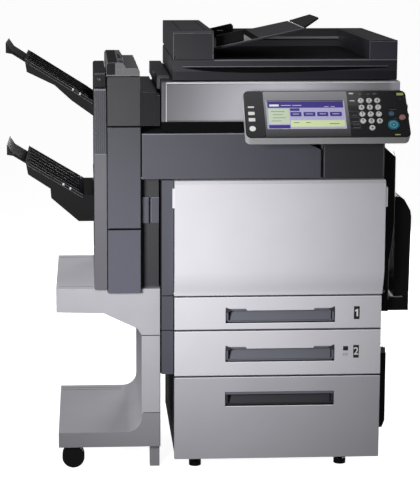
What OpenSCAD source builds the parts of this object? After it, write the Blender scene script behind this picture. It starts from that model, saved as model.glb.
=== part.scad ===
// Floor-standing colour photocopier: a print engine on a cabinet, with three paper drawers, a scanner, a
// hinged document feeder, a tilting control panel, a side door with a folding feed tray, and a two-tray
// finisher that slides on its own wheeled stand. Millimetres, +X right, +Y to the back, +Z up. The parts are
// drawn with X = 0 at the left end of the drawer fronts and Y = 0 at their face, and then moved so that the
// origin is bottom centre.

/* [Main unit] */
// Width of the drawer fronts
front_w = 570; // [566:1:574]
// Depth from the drawer fronts to the rear cover's outer face
body_d = 612; // [606:1:618]
// Gap between neighbouring covers
seam = 2; // [1:0.5:3]
// Thickness of the moulded covers
skin = 4; // [3:0.5:5]
// Thickness of the chassis plates
sheet = 3; // [2:0.5:3]

/* [Levels above the floor] */
// Underside of the cabinet
cabinet_lo = 38; // [30:1:42]
// Top of the cabinet and of the third drawer
cabinet_hi = 275; // [273:1:276]
// Top of the second drawer
drawer_2_hi = 405; // [404:1:406]
// Top of the first drawer
drawer_1_hi = 500; // [499:1:501]
// Top of the front door
door_hi = 820; // [818:1:820]
// Top edge of the relay unit's front
relay_hi = 946; // [940:1:950]
// Underside of the scanner
scan_lo = 977; // [975:1:979]
// Top of the scanner, level with its glass
scan_hi = 1084; // [1084:1:1084]
// Top of the document feeder's output deck
deck_hi = 1141; // [1139:1:1142]
// Top of the document feeder's hood
hood_hi = 1218; // [1214:1:1222]

/* [Control panel] */
// Slope of the panel's face from the horizontal
panel_slope = 48; // [44:1:50]
// Length of the panel's face across the machine
panel_w = 433; // [430:1:440]
// Length of the panel's face up the slope
panel_l = 151; // [150:1:152]
// Distance between neighbouring number keys
key_pitch = 22; // [20:0.5:22]
// Radius of a number key
key_r = 7.5; // [6:0.5:8]

/* [Finisher] */
// Slope of the upper output tray, rise over run
upper_slope = 0.63; // [0.6:0.01:0.65]
// Slope of the lower output tray, rise over run
lower_slope = 0.6; // [0.58:0.01:0.62]
// Radius of a caster wheel
wheel_r = 31; // [28:0.5:31]

/* [Hidden] */
$fn = 48;
NODES = concat(
    ["chassis", "side_covers", "rear_cover", "cabinet_shell", "cabinet_feet", "relay_unit", "scanner_fascia",
     "scanner_housing", "platen_glass", "toner_cartridges", "imaging_units", "transfer_belt", "fuser_unit",
     "scanner_carriage", "front_door", "drawer_1_front", "drawer_1_tray", "drawer_2_front", "drawer_2_tray",
     "drawer_3_front", "drawer_3_tray", "duplex_door", "bypass_tray", "lower_side_door",
     "panel_housing", "panel_screen"],
    ["key_1", "key_2", "key_3", "key_4", "key_5", "key_6", "key_7", "key_8", "key_9", "key_star", "key_0",
     "key_hash", "key_clear", "key_start", "key_stop"],
    ["adf_base", "adf_feed_cover", "adf_feed_tray", "adf_guide_front", "adf_guide_rear", "adf_tray_flap",
     "finisher_body", "finisher_front_door", "finisher_top_cover", "upper_tray", "upper_tray_extension",
     "lower_tray", "lower_tray_extension", "stand_shelf", "stand_base",
     "caster_fork_front", "caster_wheel_front", "caster_fork_rear", "caster_wheel_rear"]);
node = "all";

// Outermost faces of the whole object, which set the origin
x_right = 663;
y_rear = 632;

// Colours of the moulded and painted parts
dark_grey = "#4b4b53";
mid_grey = "#63646d";
black_plastic = "#1b1b1e";
silver = "#c9c8cd";
warm_silver = "#aeacb2";
steel = "#8f9296";

left_x = -34;                    // outer face of the main unit's left side
right_x = front_w + 1;           // outer face of its right side covers
inner_l = left_x + skin;         // inside of the left cover
inner_r = right_x - 8;           // inside of the right covers
fuser_x = front_w - 80;          // left side of the fuser

// Drawer handles: the window in each front, from its left end to its right end and its height band
handle_x = [142, 440];
handle_z = [[424, 463], [315, 356], [190, 229]];
drawer_z = [[drawer_2_hi, drawer_1_hi], [cabinet_hi, drawer_2_hi], [cabinet_lo, cabinet_hi]];
tray_z = [[drawer_2_hi + 6, drawer_1_hi - 8], [cabinet_hi + 9, drawer_2_hi - 9],
          [cabinet_lo + 16, cabinet_hi - 13]];

door_face = -26;                 // the front door's outer face, proud of the drawers
door_lo = drawer_1_hi + seam;    // the front door's lower edge
door_pin = [1, 508];             // its hinge axis, as (Y, Z)

panel_x = 180;                   // left end of the control panel
panel_foot = [-136, 951];        // lower edge of its face, as (Y, Z)
panel_t = 30;                    // thickness of the panel
pivot = [-28, 1004];             // tilt axis of the panel, as (Y, Z)
pin_r = 6;                       // its hinge pin
fit = 0.06;                      // running clearance on a pin's radius
key_col = 311;                   // first column of number keys, from the panel's left end
key_row = 117;                   // top row of number keys, up the slope
key_gap = 0.4;                   // clearance around a key
key_depth = 10;                  // how far a key reaches into the panel
key_proud = 3;                   // how far it stands out

adf_x = [-2, 604];
adf_y = [30, 600];
adf_lo = scan_hi + 3;
adf_pin = [612, 1098];           // hinge axis of the document feeder, as (Y, Z)
adf_hinges = [50, 510];          // left ends of its two hinge barrels
hood_pin = [2, 1146];            // hinge axis of the hood, as (X, Z)
tray_pin = [115, 1156];          // hinge axis of the feed tray, as (X, Z)
hood_x = 107;                    // right face of the document feeder's hood
feed_tray_y = [110, 480];
feed_tray_x = [112, 362];
feed_tray_z = [1168, 1221];      // its top surface at those two ends
feed_slope = (feed_tray_z[1] - feed_tray_z[0]) / (feed_tray_x[1] - feed_tray_x[0]);

fin_l = -215;                    // left face of the finisher
fin_post = -182;                 // right end of its left strip
fin_front = [-179, -91];         // its front covers, from left to right
fin_y = [10, 488];
fin_lo = 518;                    // underside of its housing
fin_hi = 1098;                   // top of its front covers
fin_door_pin = [-176, 14];       // hinge axis of its front door, as (X, Y)
top_pin = [490, 1102];           // hinge axis of its top cover, as (Y, Z)
top_ears = [-176, -99];          // left ends of the ears that hold that axis
exit_up = [1022, 1066];          // upper paper exit, from bottom to top
exit_low = [768, 798];           // lower paper exit

stand_y = [28, 500];
stand_x = [-321, -36];
column_x = -88;                  // left face of the stand's column
shelf_hi = 516;
column_seam = 385;               // joint between the stand's upper and lower castings
base_z = [68, 111];
caster_x = -262;                 // swivel axis of both casters
caster_trail = 16;               // wheel axle behind the swivel axis
caster_y = [76, 452];

out_tray_y = [85, 400];
out_ext_y = [130, 330];
upper_top = [-215.5, 1027];      // inner end of the upper tray's surface, as (X, Z)
upper_len = 220;                 // its length up the slope
lower_top = [-243, 768];         // where the lower tray's surface starts to climb
lower_len = 186;                 // its length up the slope
tip_run = 52;                    // how far the tray extensions reach past the trays

// Direction of a slope, uphill to the left
function uphill(slope) = [-1, slope] / norm([1, slope]);
upper_end = upper_top + upper_len * uphill(upper_slope);
lower_end = lower_top + lower_len * uphill(lower_slope);

x_left = min(upper_end[0], lower_end[0]) - tip_run;
origin_shift = [-(x_left + x_right) / 2, -(panel_foot[0] + y_rear) / 2, 0];

// A cuboid between two corners
module block(lo, hi) translate(lo) cube(hi - lo);

// An outline in (Y, Z), extruded along X
module along_x(x0, x1, points)
    translate([x0, 0, 0]) rotate([90, 0, 90]) linear_extrude(x1 - x0) polygon(points);

// An outline in (X, Z), extruded along Y
module along_y(y0, y1, points)
    translate([0, y1, 0]) rotate([90, 0, 0]) linear_extrude(y1 - y0) polygon(points);

// An outline in (X, Y), extruded along Z
module along_z(z0, z1, points) translate([0, 0, z0]) linear_extrude(z1 - z0) polygon(points);

// Cylinders from a point along each axis
module rod_x(p, len, r) translate(p) rotate([0, 90, 0]) cylinder(h = len, r = r);
module rod_y(p, len, r) translate(p) rotate([-90, 0, 0]) cylinder(h = len, r = r);
module rod_z(p, len, r) translate(p) cylinder(h = len, r = r);

// Places its children on the control panel: x along the face, y up the slope, z out of the face
module on_panel() translate([panel_x, panel_foot[0], panel_foot[1]]) rotate([panel_slope, 0, 0]) children();

// ---------------------------------------------------------------- main unit

// Welded frame of the print engine, as its separate plates
module chassis() color(steel) {
    back = body_d - 25;
    plate_r = inner_r - 6;
    block([inner_l, 30, cabinet_hi + 2], [inner_l + sheet, back, door_hi - 2]);
    block([inner_l + 4, 30, cabinet_hi + 2], [plate_r, back - 1, cabinet_hi + 2 + sheet]);
    block([inner_l + 4, 30, drawer_2_hi - 1], [plate_r, back - 1, drawer_2_hi - 1 + sheet]);
    block([inner_l + 4, 30, drawer_1_hi + 1], [plate_r, back - 1, drawer_1_hi + 1 + sheet]);
    block([inner_l + 4, 30, door_hi - 5], [plate_r, back - 1, door_hi - 5 + sheet]);
    block([inner_l + 4, back, cabinet_hi + 2], [plate_r, back + sheet, scan_lo - 3]);
    block([plate_r + 1, 30, cabinet_hi + 2], [plate_r + 1 + sheet, 62, door_hi - 2]);
    block([plate_r + 1, 63, cabinet_hi + 2], [plate_r + 1 + sheet, 479, drawer_1_hi - 2]);
    block([plate_r + 1, 480, cabinet_hi + 2], [plate_r + 1 + sheet, back, door_hi - 2]);
    block([inner_l, 445, door_hi], [inner_l + sheet, back, scan_lo - 3]);
    block([400, 20, door_hi], [400 + sheet, back - 1, scan_lo - 3]);
    for (x = [12, plate_r - 7], i = [0, 1]) {
        deck = i == 0 ? drawer_2_hi + 2 : cabinet_hi + 5;
        block([x, 60, deck + 0.5], [x + 7, 480, deck + 32]);
    }
}

// Lug from z0 to z1 on the right side that holds a hinge pin, from p0 to p1, of a side door
module pin_lug(z0, z1, p0, p1, x0) {
    block([x0, side_pin[1] - 3.5, z0], [side_pin[0] + 3, side_pin[1] + 3.5, z1]);
    rod_z([side_pin[0], side_pin[1], p0], p1 - p0, 1.8);
}

// Moulded covers on the left and right sides and around the upper right corner, with the doors' hinge lugs
module side_covers() color(mid_grey) {
    base = cabinet_hi + 6;
    top = scan_lo - 3;
    side_back = body_d - 11;
    block([left_x, 4, base], [-seam, 16, door_hi - 1]);
    block([left_x, 16.5, base], [left_x + sheet, side_back, door_hi - 1]);
    block([left_x, 440, door_hi], [left_x + sheet, side_back, top]);
    block([404, 2, door_hi + 3], [front_w, 14, top]);
    block([inner_r, 24, base], [right_x, 58, 904]);
    block([inner_r, 59, 342], [right_x, 481, 434]);
    block([inner_r, 482, base], [right_x, side_back, 904]);
    block([inner_r, 16, 905], [right_x, side_back, top]);
    pin_lug(429, 434, 433, 441, inner_r);
    pin_lug(905, 910, 896, 906, inner_r);
    pin_lug(342, 347, 331, 343, inner_r);
    for (x = [-7, right_x - 0.5]) difference() {
        union() {
            rod_x([x, door_pin[0], door_pin[1]], 5, 4);
            block([x, door_pin[0], door_pin[1] - 4], [x + 5, x < 0 ? 6 : 26, door_pin[1] + 4]);
        }
        rod_x([x - 1, door_pin[0], door_pin[1]], 7, 2.5 + fit);
    }
}

module rear_cover() color(mid_grey)
    block([left_x, body_d - 10, cabinet_hi + 6], [right_x, body_d, scan_lo - 3]);

// Floor cabinet around the third drawer, as its separate panels
module cabinet_shell() color(warm_silver) {
    back = 540;
    block([4, 24, cabinet_lo], [12, back + 8, cabinet_hi - 2]);
    block([front_w - 12, 24, cabinet_lo], [front_w - 4, back + 8, cabinet_hi - 2]);
    block([13, back + 1, cabinet_lo], [front_w - 13, back + 8, cabinet_hi - 2]);
    block([13, 24, cabinet_lo], [front_w - 13, back, cabinet_lo + 12]);
    block([13, 24, cabinet_hi - 8], [front_w - 13, back, cabinet_hi - 2]);
    for (x = [12.5, 550.5]) block([x, 60, 130], [x + 7, 480, 160]);
    pin_lug(96, 100, 98, 107, 566);
}

// Four screw feet under the cabinet
module cabinet_feet() color(black_plastic)
    for (x = [63, 472], y = [72, 488]) {
        rod_z([x, y, 0], 14, 17);
        rod_z([x, y, 14], cabinet_lo - 14, 7);
    }

// Horizontal paper relay from the engine's exit to the finisher, with a sloped top right corner
module relay_unit() color(mid_grey) {
    lo = door_hi + 3;
    difference() {
        along_y(0, 430, [[-87, lo], [-87, relay_hi], [300, relay_hi], [396, relay_hi - 45], [396, lo]]);
        along_y(skin, 426, [[-83, lo - 1], [-83, relay_hi - skin], [298, relay_hi - skin],
                            [392, relay_hi - 48], [392, lo - 1]]);
    }
}

// ---------------------------------------------------------------- scanner

// Silver front of the scanner, with the two ears and the pin that carry the control panel
module scanner_fascia() color(silver) {
    ears = [330, 450];
    difference() {
        along_x(left_x, 608, [[8, scan_hi], [2, scan_hi - 6], [2, scan_lo + 4], [6, scan_lo], [40, scan_lo],
                              [40, scan_hi]]);
        block([left_x + skin, 6 + sheet, scan_lo + skin], [608 - skin, 41, scan_hi - skin]);
    }
    for (x = ears) along_x(x, x + 10, [[4, pivot[1] - 22], [4, pivot[1] + 16], [pivot[0] - 9, pivot[1] + 9],
                                       [pivot[0] - 9, pivot[1] - 9]]);
    rod_x([ears[0], pivot[0], pivot[1]], ears[1] + 10 - ears[0], pin_r);
}

glass_x = [70, 512];
glass_y = [92, 402];

// Tub of the scanner, with the window for the glass, two rails for the carriage, a raised rim along its left
// edge and the feeder's hinge ears
module scanner_housing() color(dark_grey) {
    difference() {
        block([left_x, 42, scan_lo], [608, y_rear, scan_hi]);
        block([left_x + skin, 42 + skin, scan_lo + skin], [608 - skin, y_rear - skin, scan_hi - skin]);
        block([glass_x[0] - 0.5, glass_y[0] - 0.5, scan_hi - skin - 1],
              [glass_x[1] + 0.5, glass_y[1] + 0.5, scan_hi + 1]);
    }
    for (y = [62, 550]) block([left_x + skin, y, scan_lo + skin], [608 - skin, y + 8, scan_lo + skin + 3]);
    along_x(left_x - 8, adf_x[0] - 5, [[110, 1056], [110, scan_hi + 4], [116, scan_hi + 9],
                                       [y_rear - 8, scan_hi + 9], [y_rear - 8, 1056]]);
    for (x = adf_hinges, s = [-11, 41]) difference() {
        union() {
            rod_x([x + s, adf_pin[0], adf_pin[1]], 10, 9);
            block([x + s, adf_pin[0] - 9, scan_hi - 1], [x + s + 10, adf_pin[0] + 9, adf_pin[1]]);
        }
        rod_x([x + s - 1, adf_pin[0], adf_pin[1]], 12, 4 + fit);
    }
}

module platen_glass() color("#8fb0b5", 0.5)
    block([glass_x[0], glass_y[0], scan_hi - skin], [glass_x[1], glass_y[1], scan_hi]);

// Lamp and mirror carriage that travels under the glass
module scanner_carriage() color(black_plastic) {
    block([16, 60, scan_lo + 14], [62, 560, scan_lo + 70]);
    for (y = [60, 550]) block([10, y, scan_lo + 8], [68, y + 10, scan_lo + 13.5]);
    block([30, 70, scan_lo + 71], [48, 550, scan_lo + 90]);
}

// ---------------------------------------------------------------- print engine

engine_x = [40, 150, 260, 370];  // the four colours, from left to right

// Four toner cartridges, each a tube with a flat foot and a front grip
module toner_cartridges() color(black_plastic)
    for (x = engine_x) {
        rod_y([x, 44, 745], 396, 40);
        block([x - 12, 30, 735], [x + 12, 43.5, 755]);
    }

// Four imaging units: a housing with its drum above it
module imaging_units() color(dark_grey)
    for (x = engine_x) {
        block([x - 40, 40, 525], [x + 44, 450, 612]);
        rod_y([x + 10, 48, 629], 394, 15);
        block([x - 10, 30, 540], [x + 10, 39.5, 580]);
    }

// Endless belt over two end rollers
module transfer_belt() color("#3a3230") difference() {
    union() {
        block([20, 60, 648], [450, 440, 688]);
        for (x = [20, 450]) rod_y([x, 60, 668], 380, 20);
    }
    block([20, 59, 650], [450, 441, 686]);
    for (x = [20, 450]) rod_y([x, 59, 668], 382, 18);
}

// Heated roller pair in its cage at the top of the paper path
module fuser_unit() color(steel) {
    block([fuser_x, 70, 708], [fuser_x + 10, 470, 804]);
    block([fuser_x + 10.5, 70, 798], [fuser_x + 62, 470, 804]);
    rod_y([fuser_x + 36, 74, 772], 392, 16);
    rod_y([fuser_x + 36, 74, 734], 392, 20);
}

// ---------------------------------------------------------------- front door and drawers

// Silver door with a proud upper face that tucks back to a lip, and a finger grip on each side
module front_door() color(silver) {
    difference() {
        along_x(0, front_w, [[door_face + 8, door_hi], [door_face, door_hi - 8], [door_face, 572], [-14, 530],
                             [-6, 516], [-4, door_lo], [4, door_lo], [14, door_lo + 12], [14, door_hi]]);
        along_x(skin, front_w - skin, [[door_face + 10, door_hi - 6], [door_face + 5, door_hi - 12],
                                       [door_face + 5, 572], [-9, 532], [-1, 520], [6, 520], [15, 522],
                                       [15, door_hi - 6]]);
    }
    for (x = [-6.5, front_w - 1]) rod_x([x, door_pin[0], door_pin[1]], 7.5, 2.5);
    for (x = [-6, front_w])
        along_z(747, 800, [[x, door_face + 4], [x + 6, door_face + 4], [x + 6, -8], [x, -8]]);
}

// Silver front of drawer i, with the window for its handle
module drawer_front(i) color(i == 2 ? warm_silver : silver) difference() {
    block([1, 0, drawer_z[i][0] + seam / 2], [front_w - 1, 20, drawer_z[i][1] - seam / 2]);
    block([handle_x[0], -1, handle_z[i][0]], [handle_x[1], 21, handle_z[i][1]]);
}

// Paper box of drawer i, moulded in one with the handle scoop that shows through the front
module drawer_tray(i) color(dark_grey) {
    z = tray_z[i];
    h = handle_z[i];
    difference() {
        union() {
            block([22, 21, z[0]], [548, 470, z[1]]);
            block([handle_x[0] + 0.5, 1.5, h[0] + 0.5], [handle_x[1] - 0.5, 22, h[1] - 0.5]);
        }
        block([26, 37, z[0] + skin], [544, 466, z[1] + 1]);
        block([handle_x[0] + 6, 0, h[0] + 6], [handle_x[1] - 6, 32, h[1] - 5]);
    }
}

// ---------------------------------------------------------------- right side

door_x = right_x + 2;            // inner face of the side doors
side_y = [62, 478];
side_pin = [door_x, side_y[1]];  // hinge axis of both side doors, as (X, Y)
bypass_pin = [650, 484];         // hinge axis of the bypass tray, as (X, Z)

// Paper-turning door, thinner towards its foot, with the bypass feeder's base
module duplex_door() color(black_plastic) difference() {
    union() {
        along_y(side_y[0], side_y[1], [[door_x, 437], [door_x, 900], [door_x + 6, 900], [door_x + 39, 870],
                                       [door_x + 39, 690], [door_x + 34, 625], [door_x + 26, 580],
                                       [door_x + 26, 437]]);
        rod_z([side_pin[0], side_pin[1], 437], 463, 3.5);
        block([door_x, 73, 437], [658, 467, 468]);
        for (y = [73, 459]) {
            rod_y([bypass_pin[0], y, bypass_pin[1]], 8, 8);
            block([bypass_pin[0] - 8, y, 467], [bypass_pin[0] + 8, y + 8, bypass_pin[1]]);
        }
    }
    rod_y([bypass_pin[0], 72, bypass_pin[1]], 396, 4 + fit);
    along_y(side_y[0] + skin, side_y[1] - skin, [[door_x - 1, 474], [door_x - 1, 892], [door_x + 4, 892],
                                                 [door_x + 34, 866], [door_x + 34, 692], [door_x + 29, 625],
                                                 [door_x + 21, 580], [door_x + 21, 474]]);
    block([door_x + 4, 80, 436], [654, 460, 464]);
    rod_z([side_pin[0], side_pin[1], 436], 465, 1.8 + fit);
}

// Folding bypass tray, closed upright against the duplex door
module bypass_tray() color(black_plastic) {
    difference() {
        along_y(82, 458, [[618, 476], [618, 757], [628, 757], [643, 748], [660, 718], [x_right, 700],
                          [660, 486], [654, 476]]);
        along_y(90, 450, [[617, 490], [617, 748], [624, 748], [640, 740], [655, 714], [658, 700], [655, 494],
                          [650, 490]]);
    }
    for (y = [74, 457]) rod_y([bypass_pin[0], y, bypass_pin[1]], 9, 4);
}

// Jam access door beside the second and third drawers
module lower_side_door() color(black_plastic) difference() {
    union() {
        along_y(side_y[0], side_y[1], [[door_x, 103], [door_x, 336], [door_x + 15, 336], [door_x + 23, 317],
                                       [door_x + 23, 123], [door_x + 15, 103]]);
        rod_z([side_pin[0], side_pin[1], 103], 233, 3.5);
    }
    rod_z([side_pin[0], side_pin[1], 102], 235, 1.8 + fit);
    along_y(side_y[0] + skin, side_y[1] - skin, [[door_x - 1, 107], [door_x - 1, 332], [door_x + 13, 332],
                                                 [door_x + 20, 315], [door_x + 20, 125], [door_x + 13, 107]]);
}

// ---------------------------------------------------------------- control panel

// [name, radius, place along the panel, place up the slope] of every key that travels
number_names = ["key_1", "key_2", "key_3", "key_4", "key_5", "key_6", "key_7", "key_8", "key_9",
                "key_star", "key_0", "key_hash"];
keys = concat(
    [for (i = [0:11])
        [number_names[i], key_r, key_col + key_pitch * (i % 3), key_row - key_pitch * floor(i / 3)]],
    [["key_clear", key_r, key_col + key_pitch, key_row - 4 * key_pitch],
     ["key_start", 15, 390, 38],
     ["key_stop", 8, 416, 62]]);
screen = [[59, 29], [265, 119]];

// A rounded slab in the panel's own frame, from its face down
module panel_slab(w, l, r, z0, z1) translate([0, 0, z0]) linear_extrude(z1 - z0) {
    translate([r, 0]) square([w - 2 * r, l]);
    translate([0, r]) square([w, l - 2 * r]);
    for (x = [r, w - r], y = [r, l - r]) translate([x, y]) circle(r);
}

// Housing with the wells for its keys and screen, and the barrel that turns on the scanner's pin
module panel_housing() color(black_plastic) {
    barrel = [341, 449];
    up = [cos(panel_slope), sin(panel_slope)];
    out = [-up[1], up[0]];
    difference() {
        union() {
            on_panel() difference() {
                panel_slab(panel_w, panel_l, 14, -panel_t, 0);
                translate([screen[0][0] - 0.5, screen[0][1] - 0.5, -14])
                    cube([screen[1][0] - screen[0][0] + 1, screen[1][1] - screen[0][1] + 1, 15]);
                for (k = keys)
                    translate([k[2], k[3], -key_depth - 2]) cylinder(h = key_depth + 3, r = k[1] + key_gap);
            }
            rod_x([barrel[0], pivot[0], pivot[1]], barrel[1] - barrel[0], pin_r + 5);
            along_x(barrel[0], barrel[1], [pivot - 9 * up, pivot + 9 * up, pivot + 9 * up + 17 * out,
                                           pivot - 9 * up + 17 * out]);
        }
        rod_x([barrel[0] - 1, pivot[0], pivot[1]], barrel[1] - barrel[0] + 2, pin_r + fit);
    }
}

module panel_screen() color("#5a63a8") on_panel()
    translate([screen[0][0], screen[0][1], -13])
        cube([screen[1][0] - screen[0][0], screen[1][1] - screen[0][1], 11]);

module key(i) color(i == 13 ? "#2f7fa3" : i == 14 ? "#b0746c" : "#d6d4d2") on_panel()
    translate([keys[i][2], keys[i][3], -key_depth]) cylinder(h = key_depth + key_proud, r = keys[i][1]);

// ---------------------------------------------------------------- document feeder

// Lid with its output deck, raised right end and back wall, closed below by the white backing plate
module adf_base() {
    box_x = 528;
    box_hi = 1192;
    color(dark_grey) difference() {
        union() {
            block([adf_x[0], adf_y[0], adf_lo], [adf_x[1], adf_y[1], deck_hi]);
            along_x(hood_x + 2, adf_x[1], [[548, deck_hi - 1], [572, box_hi], [adf_y[1], box_hi],
                                           [adf_y[1], deck_hi - 1]]);
            block([box_x, adf_y[0], deck_hi - 1], [adf_x[1], adf_y[1], box_hi]);
        }
        block([adf_x[0] + skin, adf_y[0] + skin, adf_lo - 1],
              [adf_x[1] - skin, adf_y[1] - skin, deck_hi - skin]);
        block([box_x + skin, adf_y[0] + skin, deck_hi - 5],
              [adf_x[1] - skin, adf_y[1] - skin, box_hi - skin]);
    }
    color(dark_grey) {
        for (x = adf_hinges) {
            rod_x([x - 10, adf_pin[0], adf_pin[1]], 60, 4);
            rod_x([x, adf_pin[0], adf_pin[1]], 40, 8);
            block([x, adf_y[1] - 1, adf_pin[1] - 8], [x + 40, adf_pin[0], adf_pin[1] + 8]);
        }
        rod_y([hood_pin[0], 38, hood_pin[1]], adf_y[1] - 76, 2);
        for (y = [38, adf_y[1] - 48]) {
            rod_y([hood_pin[0], y, hood_pin[1]], 10, 3.5);
            block([hood_pin[0] - 3.5, y, deck_hi - 1], [hood_pin[0] + 3.5, y + 10, hood_pin[1]]);
        }
        rod_y([tray_pin[0], feed_tray_y[0] + 2, tray_pin[1]], feed_tray_y[1] - feed_tray_y[0] - 4, 2);
        for (y = [feed_tray_y[0] + 2, feed_tray_y[1] - 12]) {
            rod_y([tray_pin[0], y, tray_pin[1]], 10, 3.5);
            block([tray_pin[0] - 3.5, y, deck_hi - 1], [tray_pin[0] + 3.5, y + 10, tray_pin[1]]);
        }
    }
    color("white") block([adf_x[0] + skin + 0.5, adf_y[0] + skin + 0.5, adf_lo],
                         [adf_x[1] - skin - 0.5, adf_y[1] - skin - 0.5, adf_lo + 5]);
}

feed_slot = [1172, 1194];        // where originals enter the hood, from bottom to top

// Hood over the feeder's rollers, open below, slotted towards the feed tray and hinged along its left edge
module adf_feed_cover() color(dark_grey) {
    end = adf_y[1] - 2;
    difference() {
        along_x(adf_x[0], hood_x, [[adf_y[0], deck_hi + 1], [adf_y[0], hood_hi - 3], [adf_y[0] + 3, hood_hi],
                                   [end - 8, hood_hi], [end, hood_hi - 12], [end, deck_hi + 1]]);
        block([adf_x[0] + skin, adf_y[0] + skin, deck_hi], [hood_x - skin, end - 12, hood_hi - skin]);
        block([adf_x[0] - 1, adf_y[0] - 1, deck_hi], [hood_pin[0] + 4, adf_y[1], hood_pin[1] + 4]);
        block([hood_x - skin - 1, 130, feed_slot[0]], [hood_x + 1, 460, feed_slot[1]]);
    }
    difference() {
        rod_y([hood_pin[0], 49, hood_pin[1]], adf_y[1] - 98, 4);
        rod_y([hood_pin[0], 48, hood_pin[1]], adf_y[1] - 96, 2 + fit);
    }
    block([adf_x[0], 49, hood_pin[1] + 3], [adf_x[0] + skin, adf_y[1] - 49, hood_pin[1] + 5]);
}

// Height of the feed tray's top surface at x
function feed_z(x) = feed_tray_z[0] + feed_slope * (x - feed_tray_x[0]);

// Sloped tray for the originals, with the barrel it lifts on
module adf_feed_tray() color(dark_grey) difference() {
    union() {
        along_y(feed_tray_y[0], feed_tray_y[1], [for (p = [[0, 0], [0, -7], [1, -6], [1, 0]])
            [feed_tray_x[p[0]], feed_tray_z[p[0]] + p[1]]]);
        rod_y([tray_pin[0], feed_tray_y[0] + 13, tray_pin[1]], feed_tray_y[1] - feed_tray_y[0] - 26, 4);
        block([tray_pin[0] - 4, feed_tray_y[0] + 13, tray_pin[1]],
              [tray_pin[0] + 4, feed_tray_y[1] - 13, feed_tray_z[0] - 3]);
    }
    rod_y([tray_pin[0], feed_tray_y[0], tray_pin[1]], feed_tray_y[1] - feed_tray_y[0], 2 + fit);
}

// Paper guide standing on the feed tray, with its face at y
module adf_guide(y) color(black_plastic)
    along_y(y, y + 10, [[122, feed_z(122) + 0.6], [122, feed_z(122) + 29], [192, feed_z(192) + 30],
                        [198, feed_z(198) + 22], [198, feed_z(198) + 0.6]]);

flap_angle = 25;
// Flap at the feed tray's high end that holds long originals, narrower at its tip
module adf_tray_flap() color(black_plastic)
    translate([feed_tray_x[1] + 5, 130, feed_tray_z[1] + 1.5]) rotate([0, -flap_angle, 0]) {
        along_z(-2.5, 2.5, [[0, 0], [50, 65], [50, 235], [0, 320]]);
        rod_y([0, 0, 0], 320, 3);
    }

// ---------------------------------------------------------------- finisher

// Covers, inner walls and the two blocks towards the relay unit, as separate panels
module finisher_body() color(mid_grey) {
    y0 = fin_y[0];
    y1 = fin_y[1];
    block([fin_l, y0, fin_lo], [fin_post, y0 + 14, exit_up[1]]);
    block([fin_l, y0 + 14.5, fin_lo], [fin_l + skin, y1 - 2, exit_low[0] - 6]);
    block([fin_l, y0 + 14.5, exit_low[1]], [fin_l + skin, y1 - 2, exit_up[0]]);
    block([fin_l, y0 + 14.5, exit_up[1] - skin], [fin_post + 2, y1 - 2, exit_up[1]]);
    along_y(60, 440, [[fin_l, exit_up[1] + 0.5], [fin_l, 1104], [fin_l + 4, 1108], [fin_post - 1, 1108],
                      [fin_post - 1, exit_up[1] + 0.5]]);
    for (z = [[965, fin_hi, 964], [508, 685, 679]]) difference() {
        block([fin_front[0], y0, z[0]], [fin_front[1], y0 + 14, z[1]]);
        rod_z([fin_door_pin[0], fin_door_pin[1], z[2]], 7, 2 + fit);
    }
    rod_x([top_ears[0], top_pin[0], top_pin[1]], top_ears[1] + 5 - top_ears[0], 1.5);
    for (x = top_ears) {
        rod_x([x, top_pin[0], top_pin[1]], 5, 3);
        block([x, y1 - 1, fin_hi - 1], [x + 5, y1 + 3, top_pin[1]]);
    }
    block([fin_l, y1 - 1, fin_lo], [fin_front[1], y1 + 3, exit_up[1]]);
    block([fin_front[0], y1 - 1, exit_up[1] + 0.5], [fin_front[1], y1 + 3, fin_hi]);
    block([fin_front[0], y0 + 14.5, exit_up[1] + 1], [fin_front[0] + skin, y1 - 2, fin_hi - 5]);
    block([fin_front[1] - skin, y0 + 14.5, fin_lo + 5], [fin_front[1], y1 - 2, fin_hi - 5]);
    block([fin_l + 5, y0 + 15, fin_lo], [fin_front[1], y1 - 2, fin_lo + skin]);
    block([fin_front[0], y0 + 14.5, fin_hi - 4], [fin_front[1], y1 - 2, fin_hi]);
    block([-90, y0, 967], [-48, y1, 1057]);
    block([-47.5, y0, 967], [-38, y1, 1048]);
    block([-88, 45, fin_lo], [-40, 50, 818]);
    block([-44, 50.5, fin_lo], [-40, y1 - 2, 818]);
    for (x = [[-84, -68], [-62, -40.5]]) block([x[0], 30, 698], [x[1], 44.5, 769]);
}

module finisher_front_door() color(mid_grey) {
    block([fin_front[0], fin_y[0], 688], [fin_front[1], fin_y[0] + 14, 962]);
    for (z = [681, 961]) rod_z([fin_door_pin[0], fin_door_pin[1], z], 8, 2);
}

module finisher_top_cover() color(dark_grey) {
    difference() {
        along_y(fin_y[0] + 2, fin_y[1] - 2, [[-181, fin_hi + 2], [-181, 1130], [-177, 1136], [-137, 1136],
                                             [-128, 1121], [-97, 1121], [-92, 1112], [-92, fin_hi + 2]]);
        along_y(fin_y[0] + 6, fin_y[1] - 6, [[-177, fin_hi + 1], [-177, 1131], [-140, 1131], [-131, 1116],
                                             [-99, 1116], [-96, 1110], [-96, fin_hi + 1]]);
    }
    difference() {
        union() {
            rod_x([top_ears[0] + 6, top_pin[0], top_pin[1]], top_ears[1] - top_ears[0] - 7, 3);
            block([top_ears[0] + 6, fin_y[1] - 3, top_pin[1] - 1],
                  [top_ears[1] - 1, top_pin[0], top_pin[1] + 3]);
        }
        rod_x([top_ears[0] + 5, top_pin[0], top_pin[1]], top_ears[1] - top_ears[0], 1.5 + fit);
    }
}

// Notch at an output tray's outer end e, which the extension slides through
module tray_notch(e)
    along_y(out_ext_y[0] - 1, out_ext_y[1] + 1, [e + [12, -12], e + [-3, -4], e + [-3, -60], e + [12, -60]]);

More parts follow.
